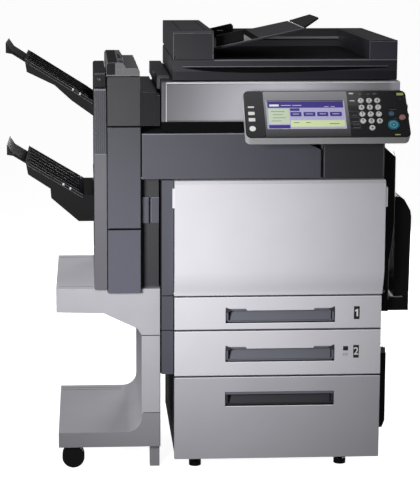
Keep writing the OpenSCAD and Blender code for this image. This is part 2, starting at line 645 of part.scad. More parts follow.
// Output tray 1: a sloped shell, open below, with its outer end cut for the extension
module upper_tray() color(black_plastic) {
    e = upper_end;
    difference() {
        along_y(out_tray_y[0], out_tray_y[1], [upper_top, e, e + [6, -38], [-321, 1070], [-275, 1028],
                                               [upper_top[0], 985]]);
        along_y(out_tray_y[0] + 5, out_tray_y[1] - 5,
                [upper_top + [-5, -3], e + [6, -9], e + [12, -50], [upper_top[0] - 5, 975]]);
        tray_notch(e);
    }
}

// Output tray 2: deeper towards the finisher, where it holds its lift carriage
module lower_tray() color(black_plastic) {
    e = lower_end;
    difference() {
        along_y(out_tray_y[0], out_tray_y[1], [[-216, 768], lower_top, e, e + [7, -38], [-335, 786],
                                               [-333, 760], [-258, 695], [-216, 695]]);
        along_y(out_tray_y[0] + 5, out_tray_y[1] - 5,
                [[-222, 762], lower_top + [-1, -6], e + [6, -9], e + [12, -50], [-330, 774], [-328, 750],
                 [-256, 685], [-222, 685]]);
        tray_notch(e);
    }
}

// Slide-out end of an output tray whose surface ends at e: a plate with a deep vertical lip
module tray_extension(e, slope) color(black_plastic) {
    u = uphill(slope);
    below = [-u[1], u[0]];
    inner = e - 70 * u;
    along_y(out_ext_y[0], out_ext_y[1], [inner + 7 * below, e + 40 * u + 6 * below, e + [-tip_run, 38],
                                         e + [-tip_run, 10], e + [-35, 7], inner + 13 * below]);
}

// ---------------------------------------------------------------- stand

// Upper casting: the shelf, its sloped bracket and the head of the column
module stand_shelf() color(silver) {
    y0 = stand_y[0];
    y1 = stand_y[1];
    x0 = stand_x[0];
    x1 = stand_x[1];
    difference() {
        along_y(y0, y1, [[x0, 452], [x0, shelf_hi], [x1, shelf_hi], [x1, column_seam + 1],
                         [column_x, column_seam + 1], [column_x - 11, 404], [-191, 448]]);
        along_y(y0 + skin, y1 - skin, [[x0 + skin, 440], [x0 + skin, shelf_hi - skin],
                                       [x1 - skin, shelf_hi - skin], [x1 - skin, column_seam],
                                       [column_x + skin, column_seam - 1], [column_x - 11 + skin, 398],
                                       [-192, 440]]);
    }
}

// Lower casting: the base, a rounded inner corner and the column, with plates for the casters and two feet
module stand_base() color(silver) {
    y0 = stand_y[0];
    y1 = stand_y[1];
    x0 = stand_x[0] + 3;
    x1 = stand_x[1];
    corner_r = 40;
    bend = [column_x - corner_r, base_z[1] + corner_r];
    difference() {
        along_y(y0, y1, [[x1, base_z[0]], [x0, base_z[0]], [x0, base_z[1]], [bend[0], base_z[1]], bend,
                         [column_x, bend[1]], [column_x, column_seam - 1], [x1, column_seam - 1]]);
        rod_y([bend[0], y0 - 1, bend[1]], y1 - y0 + 2, corner_r);
        along_y(y0 + skin, y1 - skin, [[x1 - skin, base_z[0] - 1], [x0 + skin, base_z[0] - 1],
                                       [x0 + skin, base_z[1] - skin],
                                       [column_x + skin - 24, base_z[1] - skin],
                                       [column_x + skin, base_z[1] + 20],
                                       [column_x + skin, column_seam], [x1 - skin, column_seam]]);
    }
    for (y = caster_y) difference() {
        block([x0 + 2, y - 38, base_z[0]], [caster_x + 34, y + 38, base_z[0] + 10]);
        rod_z([caster_x, y, base_z[0] - 1], 12, pin_r + fit);
    }
    for (y = caster_y) block([x1 - 28, y - 14, 0], [x1 - 1, y + 14, base_z[1] - 2]);
}

// Swivelling fork of a caster at y: a stem, a top plate and the web between its two wheels
module caster_fork(y) color(black_plastic) {
    axle_x = caster_x - caster_trail;
    rod_z([caster_x, y, base_z[0] - 3], 12, pin_r);
    difference() {
        union() {
            along_y(y - 4, y + 4, [[axle_x - 10, wheel_r - 10], [axle_x - 12, base_z[0] - 2],
                                   [caster_x + 14, base_z[0] - 2], [axle_x + 10, wheel_r - 10]]);
            rod_z([caster_x - 4, y, base_z[0] - 5], 3, 22);
        }
        rod_y([axle_x, y - 5, wheel_r], 10, 4 + fit);
    }
}

// Twin wheels on their axle
module caster_wheel(y) color(black_plastic) {
    axle_x = caster_x - caster_trail;
    rod_y([axle_x, y - 17, wheel_r], 34, 4);
    for (s = [-17, 5]) rod_y([axle_x, y + s, wheel_r], 12, wheel_r);
}

// ---------------------------------------------------------------- the object

module copier(n) {
    if (n == "chassis" || n == "all") chassis();
    if (n == "side_covers" || n == "all") side_covers();
    if (n == "rear_cover" || n == "all") rear_cover();
    if (n == "cabinet_shell" || n == "all") cabinet_shell();
    if (n == "cabinet_feet" || n == "all") cabinet_feet();
    if (n == "relay_unit" || n == "all") relay_unit();
    if (n == "scanner_fascia" || n == "all") scanner_fascia();
    if (n == "scanner_housing" || n == "all") scanner_housing();
    if (n == "platen_glass" || n == "all") platen_glass();
    if (n == "scanner_carriage" || n == "all") scanner_carriage();
    if (n == "toner_cartridges" || n == "all") toner_cartridges();
    if (n == "imaging_units" || n == "all") imaging_units();
    if (n == "transfer_belt" || n == "all") transfer_belt();
    if (n == "fuser_unit" || n == "all") fuser_unit();
    if (n == "front_door" || n == "all") front_door();
    for (i = [0:2]) {
        if (n == str("drawer_", i + 1, "_front") || n == "all") drawer_front(i);
        if (n == str("drawer_", i + 1, "_tray") || n == "all") drawer_tray(i);
    }
    if (n == "duplex_door" || n == "all") duplex_door();
    if (n == "bypass_tray" || n == "all") bypass_tray();
    if (n == "lower_side_door" || n == "all") lower_side_door();
    if (n == "panel_housing" || n == "all") panel_housing();
    if (n == "panel_screen" || n == "all") panel_screen();
    for (i = [0:len(keys) - 1]) if (n == keys[i][0] || n == "all") key(i);
    if (n == "adf_base" || n == "all") adf_base();
    if (n == "adf_feed_cover" || n == "all") adf_feed_cover();
    if (n == "adf_feed_tray" || n == "all") adf_feed_tray();
    if (n == "adf_guide_front" || n == "all") adf_guide(feed_tray_y[0] + 20);
    if (n == "adf_guide_rear" || n == "all") adf_guide(feed_tray_y[1] - 30);
    if (n == "adf_tray_flap" || n == "all") adf_tray_flap();
    if (n == "finisher_body" || n == "all") finisher_body();
    if (n == "finisher_front_door" || n == "all") finisher_front_door();
    if (n == "finisher_top_cover" || n == "all") finisher_top_cover();
    if (n == "upper_tray" || n == "all") upper_tray();
    if (n == "upper_tray_extension" || n == "all")
        tray_extension(upper_end, upper_slope);
    if (n == "lower_tray" || n == "all") lower_tray();
    if (n == "lower_tray_extension" || n == "all")
        tray_extension(lower_end, lower_slope);
    if (n == "stand_shelf" || n == "all") stand_shelf();
    if (n == "stand_base" || n == "all") stand_base();
    if (n == "caster_fork_front" || n == "all") caster_fork(caster_y[0]);
    if (n == "caster_wheel_front" || n == "all") caster_wheel(caster_y[0]);
    if (n == "caster_fork_rear" || n == "all") caster_fork(caster_y[1]);
    if (n == "caster_wheel_rear" || n == "all") caster_wheel(caster_y[1]);
}

translate(origin_shift) copier(node);
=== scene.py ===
"""Looks of the floor-standing photocopier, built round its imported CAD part."""

import math

import bmesh
import bpy
from mathutils import Matrix, Vector


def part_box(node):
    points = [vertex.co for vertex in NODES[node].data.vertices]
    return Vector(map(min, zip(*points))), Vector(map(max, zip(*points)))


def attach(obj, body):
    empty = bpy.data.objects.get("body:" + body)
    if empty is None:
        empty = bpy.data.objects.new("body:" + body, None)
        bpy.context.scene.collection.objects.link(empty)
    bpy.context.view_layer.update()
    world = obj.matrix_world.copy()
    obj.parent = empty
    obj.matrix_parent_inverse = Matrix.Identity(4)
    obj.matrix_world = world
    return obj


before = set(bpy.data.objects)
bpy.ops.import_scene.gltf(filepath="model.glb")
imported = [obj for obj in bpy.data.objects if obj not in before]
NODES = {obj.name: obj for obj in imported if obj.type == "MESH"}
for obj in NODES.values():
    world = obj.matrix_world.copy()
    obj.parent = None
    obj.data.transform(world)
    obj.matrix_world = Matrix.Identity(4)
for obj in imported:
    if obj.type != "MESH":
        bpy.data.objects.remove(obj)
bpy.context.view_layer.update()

# The drawings are in millimetres, with X = 0 at the left end of the drawer fronts and Y = 0 at their face.
# In them, the third drawer's front starts 1 mm to the right and 39 mm above the floor.
ORIGIN = Vector(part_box("drawer_3_front")[0]) - Vector((0.001, 0.0, 0.039))


def at(x, y, z):
    """A point of the drawings, in millimetres, as a point of the row frame in metres."""
    return ORIGIN + Vector((x, y, z)) / 1000


# --- materials

CLOUD_SCALE = 7
CLOUD_EDGES = (0.35, 0.65)
GRAIN_DEPTH = 0.0002


def material(name, color, rough=0.45, metal=0.0, coat=0.0, grain=0.12, grain_size=0.0012, mottle=0.03,
             alpha=1.0, emit=0.0, spec=0.5):
    """A moulded or painted finish: a base colour with faint cloudiness, and a fine grain as a bump."""
    m = bpy.data.materials.new(name)
    m.use_nodes = True
    nodes, links = m.node_tree.nodes, m.node_tree.links
    shader = nodes["Principled BSDF"]
    shader.inputs["Base Color"].default_value = (*color, 1)
    shader.inputs["Roughness"].default_value = rough
    shader.inputs["Metallic"].default_value = metal
    shader.inputs["Coat Weight"].default_value = coat
    shader.inputs["Specular IOR Level"].default_value = spec
    if alpha < 1:
        shader.inputs["Alpha"].default_value = alpha
    if emit:
        shader.inputs["Emission Color"].default_value = (*color, 1)
        shader.inputs["Emission Strength"].default_value = emit
    place = nodes.new("ShaderNodeTexCoord")

    cloud = nodes.new("ShaderNodeTexNoise")
    cloud.inputs["Scale"].default_value = CLOUD_SCALE
    cloud.inputs["Detail"].default_value = 3
    ramp = nodes.new("ShaderNodeValToRGB")
    for stop, position, change in zip(ramp.color_ramp.elements, CLOUD_EDGES, (-mottle, mottle)):
        stop.color = (*[min(1, c * (1 + change)) for c in color], 1)
        stop.position = position
    links.new(place.outputs["Object"], cloud.inputs["Vector"])
    links.new(cloud.outputs["Fac"], ramp.inputs["Fac"])
    links.new(ramp.outputs["Color"], shader.inputs["Base Color"])

    noise = nodes.new("ShaderNodeTexNoise")
    noise.inputs["Scale"].default_value = 1 / grain_size
    noise.inputs["Detail"].default_value = 2
    bump = nodes.new("ShaderNodeBump")
    bump.inputs["Strength"].default_value = grain
    bump.inputs["Distance"].default_value = GRAIN_DEPTH
    links.new(place.outputs["Object"], noise.inputs["Vector"])
    links.new(noise.outputs["Fac"], bump.inputs["Height"])
    links.new(bump.outputs["Normal"], shader.inputs["Normal"])
    return m


def measured(m, axis, low, high):
    """Adds a share of the way from low to high along an axis of the row frame, in metres, to a finish."""
    nodes, links = m.node_tree.nodes, m.node_tree.links
    place, split = nodes.new("ShaderNodeTexCoord"), nodes.new("ShaderNodeSeparateXYZ")
    span = nodes.new("ShaderNodeMapRange")
    span.inputs["From Min"].default_value = low
    span.inputs["From Max"].default_value = high
    links.new(place.outputs["Object"], split.inputs["Vector"])
    links.new(split.outputs[axis], span.inputs["Value"])
    return span.outputs["Result"]


def graded(name, low_color, high_color, z_low, z_high, rough=0.35):
    """A colour that changes from one tone to another between two heights in millimetres, used for painted
    light and shade.
    """
    m = material(name, low_color, rough=rough)
    nodes, links = m.node_tree.nodes, m.node_tree.links
    share = measured(m, "Z", z_low / 1000, z_high / 1000)
    mix = nodes.new("ShaderNodeMix")
    mix.data_type = "RGBA"
    mix.inputs["A"].default_value = (*low_color, 1)
    mix.inputs["B"].default_value = (*high_color, 1)
    links.new(share, mix.inputs["Factor"])
    links.new(mix.outputs["Result"], nodes["Principled BSDF"].inputs["Base Color"])
    return m


def paint_sheen_along(m, stops, x_low, x_high):
    """Paints a sheen into a finish's colour along X by stops, each a share of the way from x_low to x_high
    and a tone.
    """
    nodes, links = m.node_tree.nodes, m.node_tree.links
    share = measured(m, "X", at(x_low, 0, 0).x, at(x_high, 0, 0).x)
    ramp = nodes.new("ShaderNodeValToRGB")
    for position, _ in stops[2:]:
        ramp.color_ramp.elements.new(position)
    for stop, (position, _) in zip(ramp.color_ramp.elements, stops):
        stop.position = position
    for stop, (_, tone) in zip(ramp.color_ramp.elements, stops):
        stop.color = (tone, tone * 0.99, tone * 1.08, 1)
    links.new(share, ramp.inputs["Fac"])
    links.new(ramp.outputs["Color"], nodes["Principled BSDF"].inputs["Base Color"])


# Covers of the machine, the feeder, the finisher and the stand.
SILVER = material("silver_cover", (0.60, 0.59, 0.635), rough=0.42, grain=0.15, mottle=0.02)
SILVER_DARK = material("silver_cover_low", (0.40, 0.395, 0.43), grain=0.15, mottle=0.02)
GRAPHITE = material("graphite_cover", (0.060, 0.061, 0.080), rough=0.42, grain=0.2, mottle=0.04)
GRAPHITE_LIGHT = material("graphite_strip", (0.100, 0.099, 0.114), grain=0.2)
FEEDER = material("feeder_cover", (0.025, 0.024, 0.032), rough=0.4, grain=0.25, mottle=0.04)
TOP_COVER = material("top_cover", (0.145, 0.143, 0.155), rough=0.4, grain=0.2, mottle=0.04)
BLACK = material("black_moulding", (0.0025, 0.0025, 0.003), rough=0.38, grain=0.15, spec=0.25)
TRAY_BLACK = material("tray_black", (0.0016, 0.0016, 0.002), rough=0.4, grain=0.2, spec=0.14)
SCOOP = material("handle_grey", (0.125, 0.13, 0.158), grain=0.2)
STAND = material("stand_paint", (0.385, 0.38, 0.41), grain=0.15)
STEEL = material("frame_steel", (0.30, 0.31, 0.32), rough=0.35, metal=0.8)
GLASS = material("platen_glass", (0.45, 0.60, 0.62), rough=0.05, alpha=0.4)
WHITE = material("backing_white", (0.75, 0.75, 0.73), rough=0.7)
PANEL = material("panel_gloss", (0.010, 0.010, 0.012), rough=0.18, coat=0.4)
KEY = material("key_white", (0.78, 0.77, 0.76), rough=0.35)
RUBBER = material("wheel_rubber", (0.0025, 0.0025, 0.003), rough=0.6, spec=0.2, grain=0.3)
BELT = material("belt", (0.035, 0.030, 0.028), rough=0.3)
# Painted light and shade: the finisher's covers are lighter towards the bottom and darker towards the top, as
# the light falls on them.
FINISHER_PAINTED_SHADE = graded("finisher_painted_shade", (0.084, 0.085, 0.116), (0.042, 0.0425, 0.056), 518, 960, rough=0.42)
FASCIA = material("fascia_silver", (0.30, 0.298, 0.322), rough=0.38, metal=0.1, grain=0.1)
# Painted reflection: the fascia's colour rises from its dark left end to a bright band a little right of the
# middle, falls off, and brightens again at the right end, standing in for a soft box reflected in it.
PAINTED_SHEEN = ((0.0, 0.135), (0.12, 0.23), (0.30, 0.47), (0.46, 0.64), (0.58, 0.68), (0.74, 0.50), (0.90, 0.34),
         (0.95, 0.36), (0.97, 0.56), (1.0, 0.54))
paint_sheen_along(FASCIA, PAINTED_SHEEN, -34, 608)

# The control panel, its screen and its keys.
RIM = material("panel_rim", (0.45, 0.45, 0.46), rough=0.35)
# Painted reflection: the screen surround and the left field are lighter towards the top of the sloping panel,
# where it reflects the light above.
SURROUND = graded("screen_surround", (0.04, 0.04, 0.044), (0.34, 0.34, 0.37), 955, 1060)
SIDE_FIELD = graded("panel_side_field", (0.012, 0.012, 0.014), (0.03, 0.03, 0.034), 955, 1060)
PALE = material("pale_mark", (0.62, 0.62, 0.66), rough=0.4)
DIM = material("dim_mark", (0.16, 0.16, 0.19), rough=0.5)
INK = material("dark_ink", (0.01, 0.01, 0.012), rough=0.5)
LCD_PALE = material("lcd_lavender", (0.40, 0.38, 0.60), rough=0.3, emit=0.28)
LCD_NAVY = material("lcd_navy", (0.035, 0.022, 0.20), rough=0.3, emit=0.28)
LCD_GREEN = material("lcd_green", (0.48, 0.56, 0.42), rough=0.3, emit=0.28)
LCD_LIME = material("lcd_lime", (0.58, 0.68, 0.36), rough=0.3, emit=0.28)
LCD_WHITE = material("lcd_white", (0.70, 0.70, 0.75), rough=0.3, emit=0.28)
START = material("start_key", (0.03, 0.20, 0.30), rough=0.25, coat=0.3)
START_RING = material("start_ring", (0.10, 0.42, 0.52), rough=0.3)
STOP = material("stop_key", (0.42, 0.22, 0.20), rough=0.35)
BLUE_KEY = material("blue_key", (0.06, 0.13, 0.22), rough=0.3)
LIME_KEY = material("lime_key", (0.50, 0.58, 0.18), rough=0.35)

# Painted shade in seams and gaps, painted highlights on lit edges, and covers whose tone differs from their
# neighbours'; where that tone is painted light or shade, its line says so.
# Painted shade: near-black put where shade falls, in gaps, seams, slots, wells and behind louvres, and as
# shadow lines along edges.
SEAM = material("seam_shadow", (0.002, 0.002, 0.0025), rough=0.8, spec=0.1)
GLEAM = material("edge_gleam", (0.80, 0.80, 0.84), rough=0.35)
HANDLE_3 = material("handle_dark", (0.030, 0.028, 0.035))
CORNER = material("corner_cover", (0.026, 0.025, 0.031), rough=0.42, grain=0.2, mottle=0.05)
# Painted shade: the fascia's left end, dark where its chamfered corner turns away from the light.
FASCIA_END_SHADE = material("fascia_end_painted_shade", (0.10, 0.10, 0.115), rough=0.4)
# Painted highlights: light lines along the edges, steps and ribs of the feeder, the finisher and the relay,
# where light catches them.
EDGE_HIGHLIGHT = material("painted_edge_highlight", (0.22, 0.22, 0.25), rough=0.4)
DECK = material("feeder_low", (0.0075, 0.0070, 0.0110), rough=0.6, grain=0.25, mottle=0.05, spec=0.05)
BOX_FACE = material("feeder_end", (0.056, 0.053, 0.074), rough=0.4, grain=0.25, mottle=0.04)
FEEDER_LOW = material("feeder_front_low", (0.017, 0.0163, 0.023), grain=0.25, mottle=0.04, spec=0.3)
SPECKLE = material("speckled_strip", (0.42, 0.42, 0.44), rough=0.5, grain=0.6, mottle=0.25)
BRIDGE = material("bridge_cover", (0.0075, 0.0073, 0.0092), spec=0.2, rough=0.5, grain=0.2, mottle=0.04)
UPPER = material("upper_cover", (0.024, 0.0236, 0.0265), rough=0.42, grain=0.2, mottle=0.04)
# Painted shade: a near-black plate at the back of the recess between the finisher and the machine.
RECESS_SHADE = material("recess_painted_shade", (0.017, 0.0168, 0.022), rough=0.5, grain=0.2)
# Painted highlights: the lit edges of the output trays' ridges and sides.
TRAY_HIGHLIGHT = material("tray_highlight", (0.14, 0.14, 0.155), rough=0.3)
LINE = material("paint_line", (0.10, 0.10, 0.11), rough=0.6)
# Painted light: the stand's paint made lighter on the shelf's top, where the light falls on it.
SHELF_LIT = material("shelf_top_painted_light", (0.66, 0.655, 0.70), rough=0.5, grain=0.2)
# Painted shade: the cabinet's left side made dark, where it is turned away from the light.
CABINET_SIDE_SHADE = material("cabinet_side_painted_shade", (0.030, 0.030, 0.036), rough=0.5, grain=0.2, mottle=0.05)
BASE = material("stand_base_front", (0.245, 0.24, 0.26), rough=0.5, grain=0.15)
# Painted highlight: the light line down the duplex door's edge and along the bypass tray's base.
DOOR_EDGE_HIGHLIGHT = material("door_edge_highlight", (0.30, 0.30, 0.33), rough=0.4)

# Fittings at the back and inside.
SCREW = material("screw_head", (0.30, 0.30, 0.31), rough=0.35, metal=0.9)
SOCKET = material("socket_black", (0.012, 0.012, 0.013), rough=0.4)
PINS = material("contact_metal", (0.55, 0.50, 0.38), rough=0.3, metal=1.0)
LIFT_PLATE = material("lift_plate", (0.36, 0.36, 0.37), rough=0.4, metal=0.7, grain=0.2, mottle=0.05)
FELT = material("cork_pad", (0.20, 0.11, 0.05), rough=0.9, grain=0.9, grain_size=0.0006, mottle=0.2)
ROLLER = material("roller_rubber", (0.028, 0.028, 0.03), rough=0.75, grain=0.4)
LEVER = material("lever_green", (0.05, 0.28, 0.10), rough=0.4)

LOOKS = {
    STEEL: ("chassis", "fuser_unit"),
    GRAPHITE: ("side_covers", "rear_cover", "relay_unit", "imaging_units"),
    SILVER: ("front_door", "drawer_1_front", "drawer_2_front"),
    SILVER_DARK: ("cabinet_shell", "drawer_3_front"),
    SCOOP: ("drawer_1_tray", "drawer_2_tray", "drawer_3_tray"),
    BLACK: ("cabinet_feet", "scanner_carriage", "toner_cartridges", "duplex_door", "bypass_tray",
            "lower_side_door", "adf_guide_front", "adf_guide_rear", "adf_tray_flap", "caster_fork_front",
            "caster_fork_rear"),
    BELT: ("transfer_belt",),
    FASCIA: ("scanner_fascia",),
    FEEDER: ("scanner_housing", "adf_base", "adf_feed_cover", "adf_feed_tray"),
    GLASS: ("platen_glass",),
    PANEL: ("panel_housing", "panel_screen"),
    START: ("key_start",),
    STOP: ("key_stop",),
    FINISHER_PAINTED_SHADE: ("finisher_body", "finisher_front_door"),
    TOP_COVER: ("finisher_top_cover",),
    TRAY_BLACK: ("upper_tray", "upper_tray_extension", "lower_tray", "lower_tray_extension"),
    STAND: ("stand_shelf", "stand_base"),
    RUBBER: ("caster_wheel_front", "caster_wheel_rear"),
}
CAD_EDGE = 0.0012
WELD_DISTANCE = 0.00002


def paint(obj, mat):
    """One material on every face of obj."""
    obj.data.materials.clear()
    obj.data.materials.append(mat)


def round_edges(obj, width, segments=2):
    """Welds the faces of a mesh together and rounds its sharp edges."""
    weld = obj.modifiers.new("weld", "WELD")
    weld.merge_threshold = WELD_DISTANCE
    bevel = obj.modifiers.new("bevel", "BEVEL")
    bevel.width = width
    bevel.segments = segments
    bevel.limit_method = "ANGLE"
    bevel.angle_limit = math.radians(30)
    bevel.harden_normals = False
    bevel.use_clamp_overlap = True
    for face in obj.data.polygons:
        face.use_smooth = True
    smooth = obj.modifiers.new("normals", "WEIGHTED_NORMAL")
    smooth.keep_sharp = False


def paint_cad_nodes():
    """Gives each CAD node its look. The nodes that LOOKS doesn't name are white keys, with edges as drawn."""
    look_of = {name: mat for mat, names in LOOKS.items() for name in names}
    for name, obj in NODES.items():
        paint(obj, look_of.get(name, KEY))
        if not name.startswith("key_"):
            round_edges(obj, CAD_EDGE)


# --- pieces

PANEL_SLOPE = math.radians(48)
PANEL_FOOT = (180, -136, 951)
UP_PANEL = (0, math.cos(PANEL_SLOPE), math.sin(PANEL_SLOPE))


def plain(x, y, z):
    """Drawing coordinates as they are."""
    return x, y, z


def on_panel(u, v, w):
    """A point u along the control panel's face, v up its slope and w out of it, in the drawings."""
    x, y, z = PANEL_FOOT
    cos, sin = math.cos(PANEL_SLOPE), math.sin(PANEL_SLOPE)
    return x + u, y + v * cos - w * sin, z + v * sin + w * cos


def ride(obj, body, mat):
    """Gives a new piece its material and body."""
    obj.data.materials.append(mat)
    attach(obj, body)
    return obj


class Shape:
    """Closed solids in the drawings' millimetres, gathered into one piece."""

    def __init__(self, place=plain):
        self.place, self.points, self.faces = place, [], []

    def prism(self, axis, start, end, outline):
        """An outline in the two other axes, taken in the order X, Y, Z, run along one axis."""
        order = {"x": (0, 1, 2), "y": (1, 0, 2), "z": (2, 0, 1)}[axis]
        first, n = len(self.points), len(outline)
        for along in (start, end):
            for a, b in outline:
                p = [0, 0, 0]
                p[order[0]], p[order[1]], p[order[2]] = along, a, b
                self.points.append(self.place(*p))
        self.faces.append([first + i for i in range(n)][::-1])
        self.faces.append([first + n + i for i in range(n)])
        for i in range(n):
            j = (i + 1) % n
            self.faces.append([first + i, first + j, first + n + j, first + n + i])
        return self

    def box(self, lo, hi):
        """A box between its lowest and its highest corner."""
        outline = [(lo[0], lo[1]), (hi[0], lo[1]), (hi[0], hi[1]), (lo[0], hi[1])]
        return self.prism("z", lo[2], hi[2], outline)

    def rod(self, axis, start, end, a, b, r, sides=32):
        """A cylinder round (a, b), the centre in the two other axes."""
        turn = [2 * math.pi * i / sides for i in range(sides)]
        return self.prism(axis, start, end, [(a + r * math.cos(t), b + r * math.sin(t)) for t in turn])

    def ring(self, axis, start, end, outer, inner):
        """The wall between two outlines of as many points."""
        for i in range(len(outer)):
            j = (i + 1) % len(outer)
            self.prism(axis, start, end, [outer[i], outer[j], inner[j], inner[i]])
        return self

    def make(self, name, body, mat, slot="black_plastic", bevel=0.0):
        """Turns the solids into one object on a body. The slot argument is not used."""
        mesh = bpy.data.meshes.new(name)
        mesh.from_pydata([at(*p) for p in self.points], [], self.faces)
        normals = bmesh.new()
        normals.from_mesh(mesh)
        bmesh.ops.recalc_face_normals(normals, faces=normals.faces)
        normals.to_mesh(mesh)
        normals.free()
        obj = bpy.data.objects.new(name, mesh)
        bpy.context.collection.objects.link(obj)
        if bevel:
            round_edges(obj, bevel / 1000)
        return ride(obj, body, mat)


def boxes(name, body, mat, slot, *corners, bevel=0.0):
    """One piece made of boxes, each given by its lowest and its highest corner."""
    shape = Shape()
    for lo, hi in corners:
        shape.box(lo, hi)
    return shape.make(name, body, mat, slot, bevel)


def seams(name, body, *corners, bevel=0.0):
    """Boxes of painted shade in the gaps between covers."""
    return boxes(name, body, SEAM, "black_plastic", *corners, bevel=bevel)


def rectangle(x0, y0, x1, y1):
    """Outline of a rectangle."""
    return [(x0, y0), (x1, y0), (x1, y1), (x0, y1)]


def rounded(x0, y0, x1, y1, r, steps=6):
    """Outline of a rectangle with round corners."""
    points = []
    corners = ((x1 - r, y1 - r, 0), (x0 + r, y1 - r, 90), (x0 + r, y0 + r, 180), (x1 - r, y0 + r, 270))
    for cx, cy, turn in corners:
        for i in range(steps + 1):
            a = math.radians(turn + 90 * i / steps)
            points.append((cx + r * math.cos(a), cy + r * math.sin(a)))
    return points


def figure(name, text, size, place, y_axis, body, mat, weight):
    """A numeral centred on a point of the drawings, 0.1 mm thick, with its foot along X."""
    curve = bpy.data.curves.new(name, "FONT")
    curve.body, curve.size = text, size / 1000
    curve.align_x = curve.align_y = "CENTER"
    curve.extrude, curve.offset = 0.00005, weight / 1000
    obj = bpy.data.objects.new(name, curve)
    bpy.context.collection.objects.link(obj)
    x_axis, y_axis = Vector((1, 0, 0)), Vector(y_axis)
    turn = Matrix((x_axis, y_axis, x_axis.cross(y_axis))).transposed().to_4x4()
    obj.matrix_world = Matrix.Translation(at(*place)) @ turn
    return ride(obj, body, mat)


# --- control panel

PANEL_SIZE = (433, 151)
SCREEN = -1.98
PRINTED = 0.02
KEY_TOP = 3
FIRST_KEY = (311, 117)
KEY_PITCH = 22
START_KEY = (390, 38)
NUMERALS = {"key_1": "1", "key_2": "2", "key_3": "3", "key_4": "4", "key_5": "5", "key_6": "6",
            "key_7": "7", "key_8": "8", "key_9": "9", "key_star": "*", "key_0": "0", "key_hash": "#"}


def panel_fields(name, mat, slot, low, high, *fields):
    """Flat rectangles on the panel, each u0, v0, u1, v1, between two heights above its face."""
    shape = Shape(on_panel)
    for u0, v0, u1, v1 in fields:
        shape.box((u0, v0, low), (u1, v1, high))
    shape.make(name, "panel", mat, slot)


def panel_frame():
    width, height = PANEL_SIZE
    outer = rounded(-0.3, -0.3, width + 0.3, height + 0.3, 14.3)
    inner = rounded(0.2, 0.2, width - 0.2, height - 0.2, 13.8)
    Shape(on_panel).ring("z", -29.5, -1.5, outer, inner).make("panel_rim", "panel", RIM, "silver_cover")
    surround = Shape(on_panel)
    surround.ring("z", PRINTED, 0.3, rounded(52, 3, 275, 148.5, 3), rounded(58.5, 28.5, 265.5, 119.5, 3))
    surround.make("screen_surround", "panel", SURROUND, "panel_black")
    field = Shape(on_panel).prism("z", PRINTED, 0.25, rounded(3, 3, 50.5, 148.5, 11))
    field.make("panel_left_field", "panel", SIDE_FIELD, "panel_black")


def screen_layout():
    """The screen's picture as coloured fields in three thin layers, and the frame of its window."""
    first, second, third = SCREEN + 0.15, SCREEN + 0.3, SCREEN + 0.4
    panel_fields("lcd_base", LCD_PALE, "screen", SCREEN, first, (59.3, 29.3, 264.7, 118.7))
    panel_fields("lcd_bars", LCD_NAVY, "screen", first, second,
                 (62, 97, 263, 117.5), (62, 30.5, 118, 42), (121, 87, 146, 95), (121, 69.5, 150, 83),
                 (156, 69.5, 187, 83), (192, 69.5, 221, 83), (226, 69.5, 257, 83))
    panel_fields("lcd_list", LCD_GREEN, "screen", first, second, (62.5, 45, 118, 95))
    panel_fields("lcd_message", LCD_LIME, "screen", first, second, (120.5, 36, 263, 57))
    panel_fields("lcd_marks", LCD_WHITE, "screen", second, third,
                 (67, 101.5, 92, 108), (98, 104, 124, 105.6), (128, 104, 152, 105.6),
                 (212, 99.5, 224, 101), (230, 99.5, 240, 101), (127, 76, 144, 77.5),
                 (162, 76, 181, 77.5), (198, 76, 215, 77.5), (232, 76, 251, 77.5))
    panel_fields("lcd_lines", DIM, "screen", second, third,
                 (128, 48, 142, 50), (160, 48, 172, 50), (222, 44, 248, 46), (70, 84, 106, 85.5),
                 (74, 74, 100, 75.5), (74, 64, 108, 65.5), (70, 54, 96, 55.5))
    panel_fields("screen_frame", PALE, "panel_black", SCREEN, 0.45,
                 (57.6, 27.6, 59.2, 120.2), (57.6, 27.6, 266.2, 29.2), (264.8, 27.6, 266.2, 120.2))


